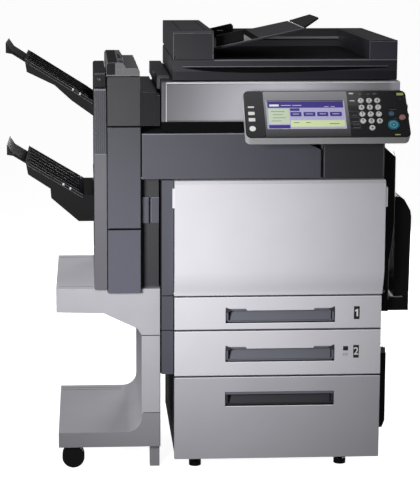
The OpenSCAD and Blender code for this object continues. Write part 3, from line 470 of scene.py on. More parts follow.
def fixed_keys():
    """The keys, dials and legends beside the screen and the number keys."""
    white = Shape(on_panel)
    white.prism("z", 0, 1.6, rounded(9.5, 95.5, 26, 100, 1.5))
    white.prism("z", 0, 1.6, rounded(9.5, 72.5, 26.5, 82.5, 1.5))
    white.prism("z", 0, 1.6, rounded(9.5, 52, 27, 62.5, 1.5))
    white.rod("z", 0, 1.8, 18, 28.5, 8.2)
    white.prism("z", 0, 1.2, rounded(281, 138.5, 293.5, 143.5, 2.2))
    white.prism("z", 0, 1.2, rounded(281, 115.5, 294, 118.5, 1))
    white.make("fixed_keys", "panel", KEY, "key_plastic", bevel=0.3)

    legend = Shape(on_panel)
    for u0, v0, u1, v1 in ((14, 105, 20, 106.2), (10, 86, 26, 87), (10, 65.5, 27, 66.5), (8, 139, 26, 140.4),
                           (14, 131, 21, 132.4), (306, 138, 315, 140.4), (328, 138, 336, 139.8),
                           (349, 137, 351, 144), (344, 139.6, 356, 141.4), (285, 70, 297, 71.2),
                           (283, 49, 299, 50.2), (283, 39, 299, 40.2), (283, 30, 299, 31.2),
                           (385, 88, 402, 89), (396, 59, 400, 60), (424, 128, 430, 129),
                           (414, 122, 420, 123)):
        legend.box((u0, v0, PRINTED), (u1, v1, 0.2))
    for v in (36, 56, 76):
        outer = rounded(275.5, v - 8, 302, v + 8, 1.5, 2)
        inner = rounded(276.1, v - 7.4, 301.4, v + 7.4, 1, 2)
        legend.ring("z", PRINTED, 0.2, outer, inner)
    legend.make("panel_legends", "panel", DIM, "panel_black")

    blue = Shape(on_panel).rod("z", 0, 1.8, 388.5, 74.4, 7.5)
    blue.make("blue_key", "panel", BLUE_KEY, "start_key", bevel=0.3)
    lime = Shape(on_panel).prism("z", 0, 1.4, rounded(409, 134, 427, 142, 2))
    lime.prism("z", 0, 1, rounded(391, 5.5, 405, 9, 1))
    lime.make("lime_keys", "panel", LIME_KEY, "key_plastic", bevel=0.3)
    dials = Shape(on_panel)
    for v in (106, 76.5):
        dials.rod("x", 433.3, 436.5, v, -13, 7)
    dials.make("panel_dials", "panel", BLACK, bevel=0.5)


def key_marks():
    """Numerals on the number keys, and the marks of the clear and start keys."""
    for i, (key, numeral) in enumerate(NUMERALS.items()):
        u, v = FIRST_KEY[0] + KEY_PITCH * (i % 3), FIRST_KEY[1] - KEY_PITCH * (i // 3)
        place = on_panel(u, v, KEY_TOP + 0.06)
        figure("numeral_" + key[4:], numeral, 10.5, place, UP_PANEL, key, INK, 0.3)
    clear = Shape(on_panel).rod("z", KEY_TOP, KEY_TOP + 0.2, 333, 29, 3.0)
    clear.make("clear_mark", "key_clear", DIM, "panel_black")
    u, v = START_KEY
    turns = [math.pi * i / 16 for i in range(32)]
    outer, inner = [[(u + r * math.cos(a), v + r * math.sin(a)) for a in turns] for r in (11, 7)]
    ring = Shape(on_panel).ring("z", KEY_TOP, KEY_TOP + 0.25, outer, inner)
    ring.make("start_ring", "key_start", START_RING, "start_key")
    mark = Shape(on_panel).rod("z", KEY_TOP, KEY_TOP + 0.2, u, v, 2.2)
    mark.make("start_mark", "key_start", PALE, "start_key")


# --- front door, drawers and cabinet

FRONT = (1, 569)
LEVELS = {1: (405, 500), 2: (275, 405), 3: (38, 275)}
HANDLES = {1: (424, 463), 2: (315, 356), 3: (190, 229)}
HANDLE_X = 291


def posts(shape, near, far, y, z):
    """Two upright boxes, alike on both sides of a handle's middle."""
    for side in (-1, 1):
        ends = sorted((HANDLE_X + side * near, HANDLE_X + side * far))
        shape.box((ends[0], y[0], z[0]), (ends[1], y[1], z[1]))


def drawer_handle(i, low, high):
    """The scoop in a drawer's front: its floor, frame, painted shadow lines round it and a painted highlight
    below its lower edge.
    """
    body, scoop = f"drawer_{i}", SCOOP if i < 3 else HANDLE_3
    left, right = HANDLE_X - 150, HANDLE_X + 150
    section = [(4, low + 6.2), (31.5, low + 6.2), (31.5, high - 5.4), (20, high - 5.4)]
    floor_shape = Shape().prism("x", left + 7.2, right - 7.2, section)
    floor_shape.make(f"handle_{i}_floor", body, scoop, "tray_grey")
    strip = Shape()
    posts(strip, 142.5, 148.5, (0.9, 22), (low + 0.5, high - 0.5))
    strip.box((left + 1.5, 0.9, low + 0.5), (right - 1.5, 22, low + 6))
    strip.make(f"handle_{i}_frame", body, scoop, "tray_grey", bevel=0.8)
    dark = Shape().box((left, -0.15, low - 0.6), (right, 2, low + 0.9))
    posts(dark, 148.6, 150.4, (-0.15, 2), (low, high))
    posts(dark, 139.5, 142, (0.6, 3), (low + 8, high - 7))
    dark.make(f"handle_{i}_outline", body, SEAM)
    boxes(f"handle_{i}_gleam", body, GLEAM, "silver_cover",
          ((left + 2, -0.12, low - 2.6), (right - 2, 2, low - 0.9)))
    if i == 3:
        boxes("handle_3_strip", body, SCOOP, "tray_grey",
              ((left + 1.5, 0.4, high - 7), (right - 1.5, 8, high - 1)), bevel=0.5)
        return
    outline = [(196, high + 1), (200, high - 4.5), (382, high - 4.5), (386, high + 1)]
    Shape().prism("y", -0.2, 2.5, outline).make(f"handle_{i}_lip", body, SILVER, "silver_cover")
    ears = Shape()
    for end, inward in ((left, 15), (right, -15)):
        ears.prism("y", -0.5, 6, [(end, high - 12), (end, high + 5), (end + inward, high - 1.5),
                                  (end + inward, high - 6)])
    ears.make(f"handle_{i}_ears", body, HANDLE_3, "tray_grey", bevel=0.6)


def drawer_fronts():
    left, right = FRONT
    seams("drawer_gaps", "machine",
          *[((left, 3, z - 0.9), (right, 19, z + 0.9)) for z in (275, 405, 500.5)])
    for i, (_, top) in LEVELS.items():
        body = f"drawer_{i}"
        # Each drawer's top edge: a painted shadow line, and a painted highlight just below it.
        seams(f"drawer_{i}_top_edge", body,
              ((left, -0.12, top - 3.6), (right, 6, top - 1.1)))
        boxes(f"drawer_{i}_gleam", body, GLEAM, "silver_cover",
              ((left + 1, -0.1, top - 5.6), (right - 1, 4, top - 3.8)))
        drawer_handle(i, *HANDLES[i])


def drawer_marks():
    """The number plates of the two upper drawers, and the second one's paper marks."""
    boxes("plate_1", "drawer_1", INK, "black_plastic", ((493.4, -0.3, 431), (509, 1, 467)))
    boxes("plate_2", "drawer_2", INK, "black_plastic", ((493.4, -0.3, 322), (509, 1, 358)))
    figure("plate_numeral_2", "2", 29, (501.2, -0.4, 340), (0, 0, 1), "drawer_2", WHITE, 0.35)
    numeral_1 = [(500.4, 439), (505, 439), (505, 459.5), (501.6, 459.5), (496.4, 455.8), (496.4, 452),
                 (500.4, 454.4)]
    Shape().prism("y", -0.45, -0.25, numeral_1).make("plate_numeral_1", "drawer_1", WHITE, "key_plastic")
    boxes("paper_mark", "drawer_2", INK, "black_plastic", ((465, -0.3, 343), (479, 1, 355)))
    levels = Shape()
    for x in (465, 470, 475):
        levels.box((x, -0.25, 329), (x + 3.5, 1, 331))
        levels.box((x, -0.25, 333.5), (x + 3.5, 1, 335))
    levels.make("paper_level_marks", "drawer_2", DIM)


def front_covers():
    """Seams of the strip left of the door, and the face of the upper right corner cover."""
    seams("strip_seams", "machine",
          *[((-34.1, 3.8, z - 1.1), (-1.9, 16.1, z + 1.1)) for z in (404.5, 501)])
    seams("strip_gap", "machine", ((-38, 6, 283), (-34.2, 16, 818)))
    boxes("corner_cover", "machine", CORNER, "dark_cover",
          ((404.3, 1.5, 823.6), (569.7, 2.4, 973.6)), bevel=0.3)
    boxes("corner_lines", "machine", DIM, "dark_cover",
          ((405.5, 1.2, 826), (406.5, 1.8, 972)), ((566, 1.2, 826), (567, 1.8, 972)))


# --- scanner and document feeder

FEEDER_BACK = 600
HOOD_TOP = 1218
RIGHT_BOX_TOP = 1192
FEED_TRAY_SIDES = (112, 478)


def scanner_front():
    # The fascia's left end in painted shade, painted highlights along its edges, and painted shade in the gap
    # below it.
    boxes("fascia_end_painted_shade", "machine", FASCIA_END_SHADE, "dark_cover",
          ((-34.3, 1.6, 977.5), (-23, 40, 1083.5)), bevel=0.8)
    boxes("fascia_gleam", "machine", GLEAM, "silver_cover",
          ((-22.6, 1.4, 978), (-21, 10, 1083)), ((-22, 1.4, 1080.4), (607, 3, 1083.8)))
    seams("scanner_gap", "machine", ((-33, 9, 948), (569, 38, 976)))


def feeder_lid():
    """Painted edge highlights, faces and the grip of the feeder's lid, with painted shade in the grip's
    recess.
    """
    boxes("deck_edge", "feeder", EDGE_HIGHLIGHT, "feeder_cover", ((108, 29.4, 1138.6), (603, 33, 1141.3)), bevel=0.4)
    boxes("deck_line", "feeder", EDGE_HIGHLIGHT, "feeder_cover", ((110, 44, 1141.1), (527, 46, 1141.5)))
    left, right, top = 24, 579, 1120
    steps = [t / 10 for t in range(10)]
    sag = [(left + (right - left) * t, top - 14 * math.sin(math.pi * t**0.7)) for t in steps]
    outline = sag + [(right, top - 1), (right, top + 1.8), (left, top + 1.8)]
    Shape().prism("y", 29.6, 31, outline).make("grip_recess", "feeder", SEAM)
    boxes("grip_ledge", "feeder", EDGE_HIGHLIGHT, "feeder_cover", ((left, 29.2, top + 2.4), (right, 31, top + 4)))
    boxes("hood_edges", "feed_cover", EDGE_HIGHLIGHT, "feeder_cover",
          ((-1.6, 29.6, 1142.6), (-0.4, 31, 1216)), ((-1, 29.6, 1212.4), (106, 34, 1213.6)),
          ((104.6, 29.6, 1142.6), (105.8, 31, 1214)))
    boxes("right_box_edges", "feeder", EDGE_HIGHLIGHT, "feeder_cover",
          ((528.2, 29.6, 1142), (529.4, 31, 1191)), ((529, 29.6, 1188.6), (603.6, 31, 1190)))
    step = Shape().prism("x", 112, 527, [(555.5, 1163), (558, 1169.5), (560, 1169.5), (560, 1163)])
    step.make("back_wall_step", "feeder", EDGE_HIGHLIGHT, "feeder_cover")
    boxes("feeder_end_face", "feeder", BOX_FACE, "feeder_cover", ((529.6, 29.7, 1142), (603.7, 30.4, 1188.4)))
    boxes("feeder_front_low", "feeder", FEEDER_LOW, "feeder_cover",
          ((-1.7, 29.7, 1087.4), (603.7, 30.3, 1110)))
    boxes("deck_surface", "feeder", DECK, "feeder_cover", ((109, 47, 1141.05), (527, 547, 1141.45)))
    boxes("backing_plate", "feeder", WHITE, "key_plastic", ((2.5, 34.5, 1086.6), (599.5, 595.5, 1087.2)))


def feed_z(x):
    """Height of the feed tray's top surface at x."""
    return 1168 + (1221 - 1168) / (362 - 112) * (x - 112)


def feed_tray_band(name, mat, slot, sides, x0, x1, depth=1.0):
    """A thin band on the feed tray's slope between x0 and x1."""
    z0, z1 = feed_z(x0), feed_z(x1)
    outline = [(x0, z0 - depth), (x1, z1 - depth), (x1, z1 + 0.3), (x0, z0 + 0.3)]
    Shape().prism("y", *sides, outline).make(name, "feed_tray", mat, slot)


def feed_tray():
    feed_tray_band("feed_tray_stripe", SPECKLE, "tray_grey", FEED_TRAY_SIDES, 196, 218)
    low, high = feed_z(218), feed_z(238)
    dark = [(218.5, low - 1), (238, high - 1), (238, high + 0.3), (218.5, low + 0.3)]
    Shape().prism("y", *FEED_TRAY_SIDES, dark).make("feed_tray_band", "feed_tray", SEAM)
    feed_tray_band("feed_tray_edge", EDGE_HIGHLIGHT, "feeder_cover", (109.6, 112), 114, 361, depth=0.8)
    end = Shape().prism("y", 113, 128.4, [(361.2, 1214.6), (364.6, 1216.2), (364.6, 1222.6), (361.2, 1221.2)])
    end.make("feed_tray_end", "feed_tray", FEEDER, "feeder_cover")
    z = feed_z(150)
    boxes("guide_mark", "guide_rear", PALE, "key_plastic", ((150, 449.4, z + 18), (168, 450.2, z + 19.6)))


# --- finisher


def finisher_front():
    """Seams, strip and ribs at the finisher's left, and its exit block."""
    seams("finisher_seams", "finisher",
          *[((-178.8, 12.5, z - 1.3), (-91.2, 23, z + 1.3)) for z in (963.5, 686.5)],
          ((-178.8, 9.3, 963.4), (-91.2, 12, 967)), ((-178.8, 9.7, 682.6), (-91.2, 12, 685.6)),
          ((-181.8, 19.5, 891), (-179.2, 23, 1097)), ((-182.6, 9.4, 967), (-180.4, 12, 1097)))
    boxes("finisher_left_strip", "finisher", GRAPHITE_LIGHT, "dark_cover",
          ((-215.2, 9.6, 518.5), (-182, 10.3, 890)), ((-182, 19.5, 509), (-179.2, 23, 890)))
    boxes("finisher_ribs", "finisher", GRAPHITE, "dark_cover",
          *[((x, 8.4, 893), (x + 2, 11, 1062)) for x in (-211.5, -206, -200.5, -195, -189.5)], bevel=0.5)
    boxes("finisher_strip_caps", "finisher", EDGE_HIGHLIGHT, "dark_cover",
          ((-214.5, 8.2, 1062), (-183, 12, 1066.2)), ((-214.5, 8.6, 889.6), (-183, 11, 891.4)), bevel=0.4)
    block = [(-215.3, 1066.4), (-215.3, 1104), (-211.2, 1108.3), (-182.7, 1108.3), (-182.7, 1066.4)]
    Shape().prism("y", 59.6, 440.4, block).make("exit_block", "finisher", BLACK, bevel=1)
    boxes("exit_block_marks", "finisher", DIM, "black_plastic",
          ((-214, 59.2, 1101.5), (-184, 60, 1103)), ((-201, 59.2, 1085), (-197, 60, 1090)),
          ((-206, 59.2, 1088), (-203, 60, 1090)))


def finisher_bridge():
    """Faces of the finisher's upper part and of its bridge to the machine, with painted shade in the recess
    below them.
    """
    boxes("finisher_upper_face", "finisher", UPPER, "dark_cover",
          ((-178.8, 9.6, 965.4), (-91.2, 10.4, 1097.6)))
    boxes("bridge_faces", "finisher", BRIDGE, "dark_cover",
          ((-90, 9.6, 967.4), (-48.2, 10.4, 1056.6)), ((-47.3, 9.6, 967.4), (-38.2, 10.4, 1047.6)))
    boxes("bridge_tops", "finisher", FEEDER, "dark_cover",
          ((-90.2, 10, 1056.9), (-48.2, 491, 1057.4)), ((-47.4, 10, 1047.9), (-38, 491, 1048.4)))
    boxes("recess_plate", "finisher", RECESS_SHADE, "dark_cover",
          ((-87.9, 44.4, 519), (-40.2, 45.2, 697)), ((-87.9, 44.4, 770), (-40.2, 45.2, 817)))
    seams("finisher_right_gap", "finisher", ((-90.9, 12, 519), (-88.2, 44, 1056)))
    ribs = Shape()
    for x0, x1 in ((-84, -68), (-62, -40.5)):
        ribs.box((x0, 29.5, 698.5), (x0 + 1, 31, 768.5))
        ribs.box((x0, 29.5, 767.6), (x1, 31, 768.8))
    ribs.make("recess_rib_lines", "finisher", EDGE_HIGHLIGHT, "dark_cover")


def finisher_top():
    """Lines and steps in painted highlight, band and latches of the finisher's top cover."""
    body = "finisher_top_cover"
    boxes("top_cover_lines", body, EDGE_HIGHLIGHT, "feeder_cover",
          ((-181, 11.6, 1100.6), (-92, 13, 1102)), ((-181, 11.6, 1117), (-130, 13, 1118)),
          ((-137.6, 11.6, 1104), (-136.4, 13, 1134)), ((-129, 11.6, 1119.4), (-97, 14, 1120.8)),
          ((-177, 12.4, 1134.6), (-138, 14.5, 1136.2)))
    band = Shape().box((-176.5, 13, 1135.7), (-151, 485, 1136.3))
    front = [(-180.4, 1104), (-180.4, 1130), (-177, 1135.2), (-158, 1135.2), (-158, 1104)]
    band.prism("y", 11.4, 12.6, front)
    band.make("top_cover_band", body, BRIDGE, "dark_cover")
    boxes("top_cover_steps", body, EDGE_HIGHLIGHT, "dark_cover",
          ((-150.5, 20, 1135.7), (-148.6, 380, 1136.6)),
          ((-134, 20, 1129.5), (-132.6, 470, 1131.6)), bevel=0.3)
    boxes("top_cover_latches", body, BLACK, "black_plastic",
          ((-147, 14, 1135.6), (-140, 60, 1138)), ((-147, 180, 1135.6), (-140, 300, 1138)), bevel=0.6)
    boxes("relay_edge", "machine", EDGE_HIGHLIGHT, "dark_cover", ((-86.9, -0.3, 943.6), (299, 3, 946.2)), bevel=0.4)


# --- output trays


def output_tray(tray, body, top, slope, length):
    """Ridges, their lit edges and the clips of an output tray that slopes down to the left from top."""

    def point(run, rise=0.0):
        long = math.hypot(1, slope)
        return top[0] - run / long, top[1] + run * slope / long + rise

    ridges, shine = Shape(), Shape()
    for y in (100, 150, 205, 262, 320, 372):
        ridge = [point(10, -1), point(length - 8, -1), point(length - 12, 2.6), point(16, 2.6)]
        ridges.prism("y", y, y + 8, ridge)
        lit = [point(16, 2.4), point(length - 12, 2.4), point(length - 12, 2.9), point(16, 2.9)]
        shine.prism("y", y - 0.2, y + 1, lit)
    for low in (-0.8, -9):
        shine.prism("y", 84.6, 85.4, [point(4, low - 1), point(length - 2, low - 1), point(length - 2, low),
                                      point(4, low)])
    ridges.make(f"{tray}_tray_ridges", body, TRAY_BLACK, bevel=0.8)
    shine.make(f"{tray}_tray_lines", body, TRAY_HIGHLIGHT)
    clips = Shape()
    for x, z in (point(66), point(44)):
        clips.box((x - 2, 84.2, z - 7), (x + 3, 90, z - 1))
    clips.make(f"{tray}_tray_clips", body, PALE, "key_plastic", bevel=0.5)


# --- stand


def stand():
    seams("stand_seams", "machine",
          ((-84, 27.7, 164), (-36.5, 29, 166)), ((-88, 27.7, 384), (-36.2, 29, 386)),
          ((-37.6, 27.3, 68.5), (-36.1, 28.7, 515.6)))
    # The shelf's top in painted light, lighter than the stand's paint.
    boxes("shelf_surface", "machine", SHELF_LIT, "stand_paint",
          ((-320, 29, 515.6), (-216.5, 499, 516.3)), bevel=0.2)
    # The cabinet's left side in painted shade.
    boxes("cabinet_left_side", "machine", CABINET_SIDE_SHADE, "dark_cover", ((3.3, 27, 41), (4.2, 547, 271)))
    boxes("stand_top_lines", "machine", LINE, "stand_paint",
          ((-316, 466, 515.8), (-218, 469, 516.6)), ((-314, 60, 515.8), (-220, 62, 516.6)),
          ((-312, 470, 110.8), (-134, 472, 111.4)), ((-312, 450, 110.8), (-134, 451.5, 111.4)))
    front = [(-36.2, 68.5), (-317.6, 68.5), (-317.6, 110.4)]
    for i in range(7):
        a = math.radians(15 * i)
        front.append((-128 + 40.3 * math.sin(a), 151 - 40.3 * math.cos(a)))
    front += [(-87.7, 163), (-36.2, 163)]
    Shape().prism("y", 27.6, 28.4, front).make("stand_base_front", "machine", BASE, "stand_paint")
    boxes("stand_foot_face", "machine", BASE, "stand_paint", ((-63.8, 61.6, 2), (-37.2, 62.4, 66)))


# --- right side


def side_doors():
    """The painted highlight down the duplex door's edge, the bypass tray's base and the lower door's cap."""
    edge = [(606, 886), (612.2, 869), (612.2, 691), (607.2, 626), (599.2, 581), (599.2, 470)]
    line = Shape()
    for (x0, z0), (x1, z1) in zip(edge, edge[1:]):
        line.prism("y", 61.5, 63, [(x0 - 1.4, z0), (x0, z0), (x1, z1), (x1 - 1.4, z1)])
    line.prism("y", 73.2, 74.2, rectangle(598.5, 474.6, 642.5, 475.9))
    line.make("duplex_door_line", "duplex_door", DOOR_EDGE_HIGHLIGHT)
    boxes("bypass_base_ends", "duplex_door", BLACK, "black_plastic",
          ((598.5, 74, 467), (642.5, 80.5, 475.6)), ((598.5, 460, 467), (642.5, 466, 475.6)), bevel=0.4)
    boxes("lower_door_cap", "lower_side_door", DIM, "black_plastic", ((573.5, 61.6, 318), (594, 63, 335)))


def right_cover():
    """Louvres and seams of the right cover, and the lower side door's grip."""
    louvres, gaps = Shape(), Shape()
    for z in range(640, 861, 20):
        slat = [(570.8, z), (571.6, z), (573.4, z + 5), (573.4, z + 7), (570.8, z + 9)]
        louvres.prism("y", 500, 590, slat)
        gaps.box((570.6, 501, z - 8), (571.15, 589, z - 1))
    louvres.make("right_louvres", "machine", GRAPHITE, "dark_cover", bevel=0.5)
    for y in (58.5, 481.5):
        gaps.box((570.4, y - 0.6, 281), (571.2, y + 0.6, 904))
    gaps.box((570.4, 16, 904), (571.2, 601, 905.2))
    # Painted shade behind the louvres and in the cover's seams.
    gaps.make("right_cover_gaps", "machine", SEAM)
    grip = Shape().prism("x", 592.4, 593.4, rounded(200, 286, 340, 308, 6))
    grip.make("lower_side_door_grip", "lower_side_door", CORNER, bevel=0.4)


# --- back and left side

REAR_BACK, CABINET_BACK = 612, 548
PORTS = ((300, 892, 20, 16), (340, 892, 16, 14), (300, 858, 14, 7), (340, 858, 14, 7), (300, 824, 30, 10),
         (340, 790, 12, 12), (300, 790, 12, 12))


def rear_screws():
    screws, slots = Shape(), Shape()
    places = [(x, z, REAR_BACK) for x in (-22, 268, 559) for z in (300, 620, 958)]
    places += [(x, z, CABINET_BACK) for x in (26, 285, 544) for z in (54, 260)]
    for x, z, back in places:
        screws.rod("y", back - 0.5, back + 0.9, x, z, 4.2, 20)
        slots.box((x - 2.6, back + 0.85, z - 0.5), (x + 2.6, back + 0.97, z + 0.5))
        slots.box((x - 0.5, back + 0.85, z - 2.6), (x + 0.5, back + 0.97, z + 2.6))
    screws.make("rear_screws", "machine", SCREW, "frame_steel", bevel=0.3)
    # Painted shade in the screw slots.
    slots.make("rear_screw_slots", "machine", SEAM)
    seams("rear_seams", "machine",
          ((409, REAR_BACK - 1, 281), (410.4, REAR_BACK + 0.15, 974)),
          ((-34, REAR_BACK - 1, 640), (409, REAR_BACK + 0.15, 641.4)),
          ((13, CABINET_BACK - 1, 160), (557, CABINET_BACK + 0.15, 161.2)))


def louvre_field(name, x0, x1, z0, z1, back, pitch=13):
    """Rows of sloped slats over a field of painted shade, on a face towards +Y."""
    field, slats = Shape(), Shape()
    field.prism("y", back - 0.8, back + 0.1, rounded(x0, z0, x1, z1, 5))
    z = z0 + 5
    while z + pitch - 3 < z1:
        root, tip = back - 0.3, back + 3.2
        slat = [(root, z), (back + 1.0, z), (tip, z + 4), (tip, z + 5.2), (root, z + 7)]
        slats.prism("x", x0 + 5, x1 - 5, slat)
        z += pitch
    middle = (x0 + x1) / 2
    slats.box((middle - 2.5, back - 0.3, z0 + 3), (middle + 2.5, back + 3, z1 - 3))
    field.make(name + "_field", "machine", SEAM)
    slats.make(name + "_slats", "machine", GRAPHITE, "dark_cover", bevel=0.4)


def power_inlet():
    """The socket for a mains cord: its rim, its well in painted shade and three contacts."""
    rim = Shape()
    outer, inner = rounded(-16, 318, 40, 356, 4), rounded(-10, 324, 28, 350, 4)
    rim.ring("y", REAR_BACK - 0.5, REAR_BACK + 2.6, outer, inner)
    rim.box((31, REAR_BACK - 0.5, 328), (37, REAR_BACK + 3.6, 346))
    rim.make("power_inlet", "machine", SOCKET, bevel=0.4)
    well = Shape().prism("y", REAR_BACK - 0.6, REAR_BACK + 0.2, rounded(-10.5, 323.5, 28.5, 350.5, 4))
    well.make("power_inlet_well", "machine", SEAM)
    pins = Shape()
    for x, z in ((9, 342), (1, 333), (17, 333)):
        pins.box((x - 1, REAR_BACK, z - 3), (x + 1, REAR_BACK + 2, z + 3))
    pins.make("power_inlet_pins", "machine", PINS, "frame_steel", bevel=0.2)


def connectors():
    """A plate with sockets of generic shapes, each x, z, width and height."""
    plate = Shape().prism("y", REAR_BACK - 0.5, REAR_BACK + 0.5, rounded(250, 760, 390, 930, 6))
    plate.make("interface_plate", "machine", STEEL, "frame_steel", bevel=0.3)
    shells, wells, tongues = Shape(), Shape(), Shape()
    for x, z, width, height in PORTS:
        w, h = width / 2, height / 2
        outer = rectangle(x - w - 1.4, z - h - 1.4, x + w + 1.4, z + h + 1.4)
        shells.ring("y", REAR_BACK, REAR_BACK + 2.2, outer, rectangle(x - w, z - h, x + w, z + h))
        wells.box((x - w, REAR_BACK, z - h), (x + w, REAR_BACK + 0.8, z + h))
        tongues.box((x - w * 0.7, REAR_BACK + 0.8, z - 0.8), (x + w * 0.7, REAR_BACK + 1.7, z + 0.8))
    shells.make("port_shells", "machine", SCREW, "frame_steel")
    # Painted shade in the sockets' wells.
    wells.make("port_wells", "machine", SEAM)
    tongues.make("port_contacts", "machine", PINS, "frame_steel")


def left_side():
    louvres = Shape()
    for z in range(330, 500, 14):
        slat = [(-34.2, z), (-35, z), (-36.8, z + 4), (-36.8, z + 5.5), (-34.2, z + 7.5)]
        louvres.prism("y", 505, 590, slat)
    louvres.make("left_louvres", "machine", GRAPHITE, "dark_cover", bevel=0.4)


def feeder_back_and_top():
    """Hinge caps behind the feeder, and the seams of its back and its tops."""
    hinges = Shape()
    for x in (50, 510):
        hinges.prism("y", 592, FEEDER_BACK + 0.6, rounded(x - 2, 1122, x + 42, 1140.5, 4))
    hinges.make("feeder_hinge_caps", "feeder", BLACK, bevel=0.8)
    back = FEEDER_BACK
    seams("feeder_back_seams", "feeder",
          ((-2, back, 1141), (604, back + 0.15, 1142)), ((200, back, 1143), (201, back + 0.15, 1188)),
          ((400, back, 1143), (401, back + 0.15, 1188)))
    low, high = HOOD_TOP, HOOD_TOP + 0.15
    boxes("feed_cover_top_lines", "feed_cover", SEAM, "feeder_cover",
          ((20, 90, low), (22, 540, high)), ((88, 90, low), (90, 540, high)),
          ((20, 88, low), (90, 90, high)), ((20, 540, low), (90, 542, high)))
    low, high = RIGHT_BOX_TOP, RIGHT_BOX_TOP + 0.15
    boxes("feeder_right_top_lines", "feeder", SEAM, "feeder_cover",
          ((540, 60, low), (541, 590, high)), ((592, 60, low), (593, 590, high)))


def finisher_back_and_left():
    screws = Shape()
    for z in (530, 1055, 790):
        for x in (-205, -101):
            screws.rod("y", 490.5, 491.9, x, z, 3.8, 20)
    screws.make("finisher_back_screws", "finisher", SCREW, "frame_steel", bevel=0.3)
    louvres = Shape()
    for z in range(560, 700, 12):
        slat = [(490.7, z), (491.6, z), (493.4, z + 4), (493.4, z + 5.2), (490.7, z + 7)]
        louvres.prism("x", -195, -111, slat)
    louvres.make("finisher_back_louvres", "finisher", GRAPHITE, "dark_cover", bevel=0.4)
    seams("finisher_left_seams", "finisher",
          ((-215.3, 30, 640), (-214.8, 470, 641.2)), ((-215.3, 30, 900), (-214.8, 470, 901.2)),
          ((-215.3, 452, 522), (-214.8, 453.2, 1018)))
    seams("finisher_exit_lips", "finisher",
          *[((-216.4, 62, z), (-214.6, 438, z + 2.4)) for z in (800, 1019.4)], bevel=0.4)


# --- inside the front door

TONER = {"yellow": (0.75, 0.55, 0.03), "magenta": (0.55, 0.03, 0.20), "cyan": (0.02, 0.30, 0.55),
         "black": (0.02, 0.02, 0.022)}
TONER_X = (40, 150, 260, 370)


def toner_station(x, ink, color):
    """The cap and grip of one toner cartridge, and its imaging unit's face and tab below it."""
    look = material(f"toner_{ink}", color, rough=0.4)
    cap = Shape().rod("y", 40.5, 44.5, x, 745, 31, 48)
    cap.make(f"toner_cap_{ink}", "machine", look, "dark_cover", bevel=1)
    outline = [(x - 11, 30.5), (x + 11, 30.5), (x + 11, 29.2), (x + 5, 27.5), (x - 5, 27.5), (x - 11, 29.2)]
    grip = Shape().prism("z", 737, 753, outline)
    grip.make(f"toner_grip_{ink}", "machine", look, "dark_cover", bevel=0.5)
    face = Shape().prism("y", 38.6, 40.4, rounded(x - 34, 560, x + 38, 604, 5))
    face.make(f"imaging_unit_face_{ink}", "machine", CORNER, "dark_cover", bevel=0.6)
    boxes(f"imaging_unit_tab_{ink}", "machine", look, "dark_cover",
          ((x - 6, 28.6, 546), (x + 6, 30.4, 574)), bevel=0.5)


# --- inside the drawers, the finisher and the hood

TRAY_LEVELS = {1: (411, 492), 2: (284, 396), 3: (54, 262)}


def drawer_inside(i, floor_z, wall_z):
    """Lift plate, pad, paper guides and size scale of one drawer."""
    body, z = f"drawer_{i}", floor_z + 4
    plate = Shape().prism("z", z - 0.5, z + 2, rounded(60, 60, 300, 440, 10))
    plate.make(f"drawer_{i}_lift_plate", body, LIFT_PLATE, "frame_steel", bevel=0.6)
    pad = Shape().prism("z", z + 1.8, z + 3, rounded(72, 200, 100, 300, 3))
    pad.make(f"drawer_{i}_pad", body, FELT, "tray_grey", bevel=0.3)
    guides = Shape()
    for y, foot in ((70, (74, 88)), (426, (412, 426))):
        guides.box((180, y, z - 0.5), (290, y + 4, wall_z - 12))
        guides.box((180, foot[0], z + 2.2), (290, foot[1], z + 4.2))
        lug = [(225, wall_z - 14), (245, wall_z - 14), (242, wall_z - 7), (228, wall_z - 7)]
        guides.prism("y", y - 3, y + 7, lug)
    guides.box((440, 190, z - 0.5), (444, 310, wall_z - 12))
    guides.box((444, 215, z - 0.5), (475, 285, z + 10))
    guides.make(f"drawer_{i}_paper_guides", body, SOCKET, bevel=0.8)
    scale = Shape()
    for step in range(9):
        y, right = 90 + 40 * step, 332 if step % 2 else 340
        scale.box((320, y, z - 0.5), (right, y + 1.4, z + 0.15))
    scale.make(f"drawer_{i}_size_scale", body, PALE, "key_plastic")


def finisher_inside():
    """Roller pairs on their shafts, two knobs and two levers behind the finisher's door."""
    rollers, shafts, knobs = Shape(), Shape(), Shape()
    for z in (600, 700, 800, 900):
        rollers.rod("x", -174, -96, 60, z, 11, 28).rod("x", -174, -96, 84, z + 4, 9, 28)
        shafts.rod("x", -176.5, -94.5, 60, z, 3, 16).rod("x", -176.5, -94.5, 84, z + 4, 3, 16)
    rollers.make("finisher_rollers", "finisher", ROLLER, bevel=0.6)
    shafts.make("finisher_roller_shafts", "finisher", SCREW, "frame_steel")
    for x, z in ((-150, 640), (-120, 750)):
        knobs.rod("y", 26, 48, x, z, 14, 24)
    knobs.make("finisher_knobs", "finisher", SOCKET, bevel=1)
    boxes("finisher_levers", "finisher", LEVER, "stop_key",
          ((-168, 30, 842), (-112, 44, 856)), ((-168, 30, 560), (-152, 46, 576)), bevel=2)


def hood_inside():
    """The feeder's rollers under the hood, their shaft and their bed."""
    rollers = Shape()
    for y in (245, 300, 355):
        rollers.rod("y", y - 14, y + 14, 60, 1160, 11, 28)
    rollers.rod("y", 80, 520, 88, 1158, 7, 24)
    rollers.make("feeder_rollers", "feeder", ROLLER, bevel=0.6)
    Shape().rod("y", 60, 540, 60, 1160, 3, 16).make("feeder_roller_shaft", "feeder", SCREW, "frame_steel")
    boxes("feeder_roller_bed", "feeder", SOCKET, "black_plastic",
          ((20, 70, 1140.8), (100, 530, 1145)), bevel=0.8)


# --- floor, light and camera

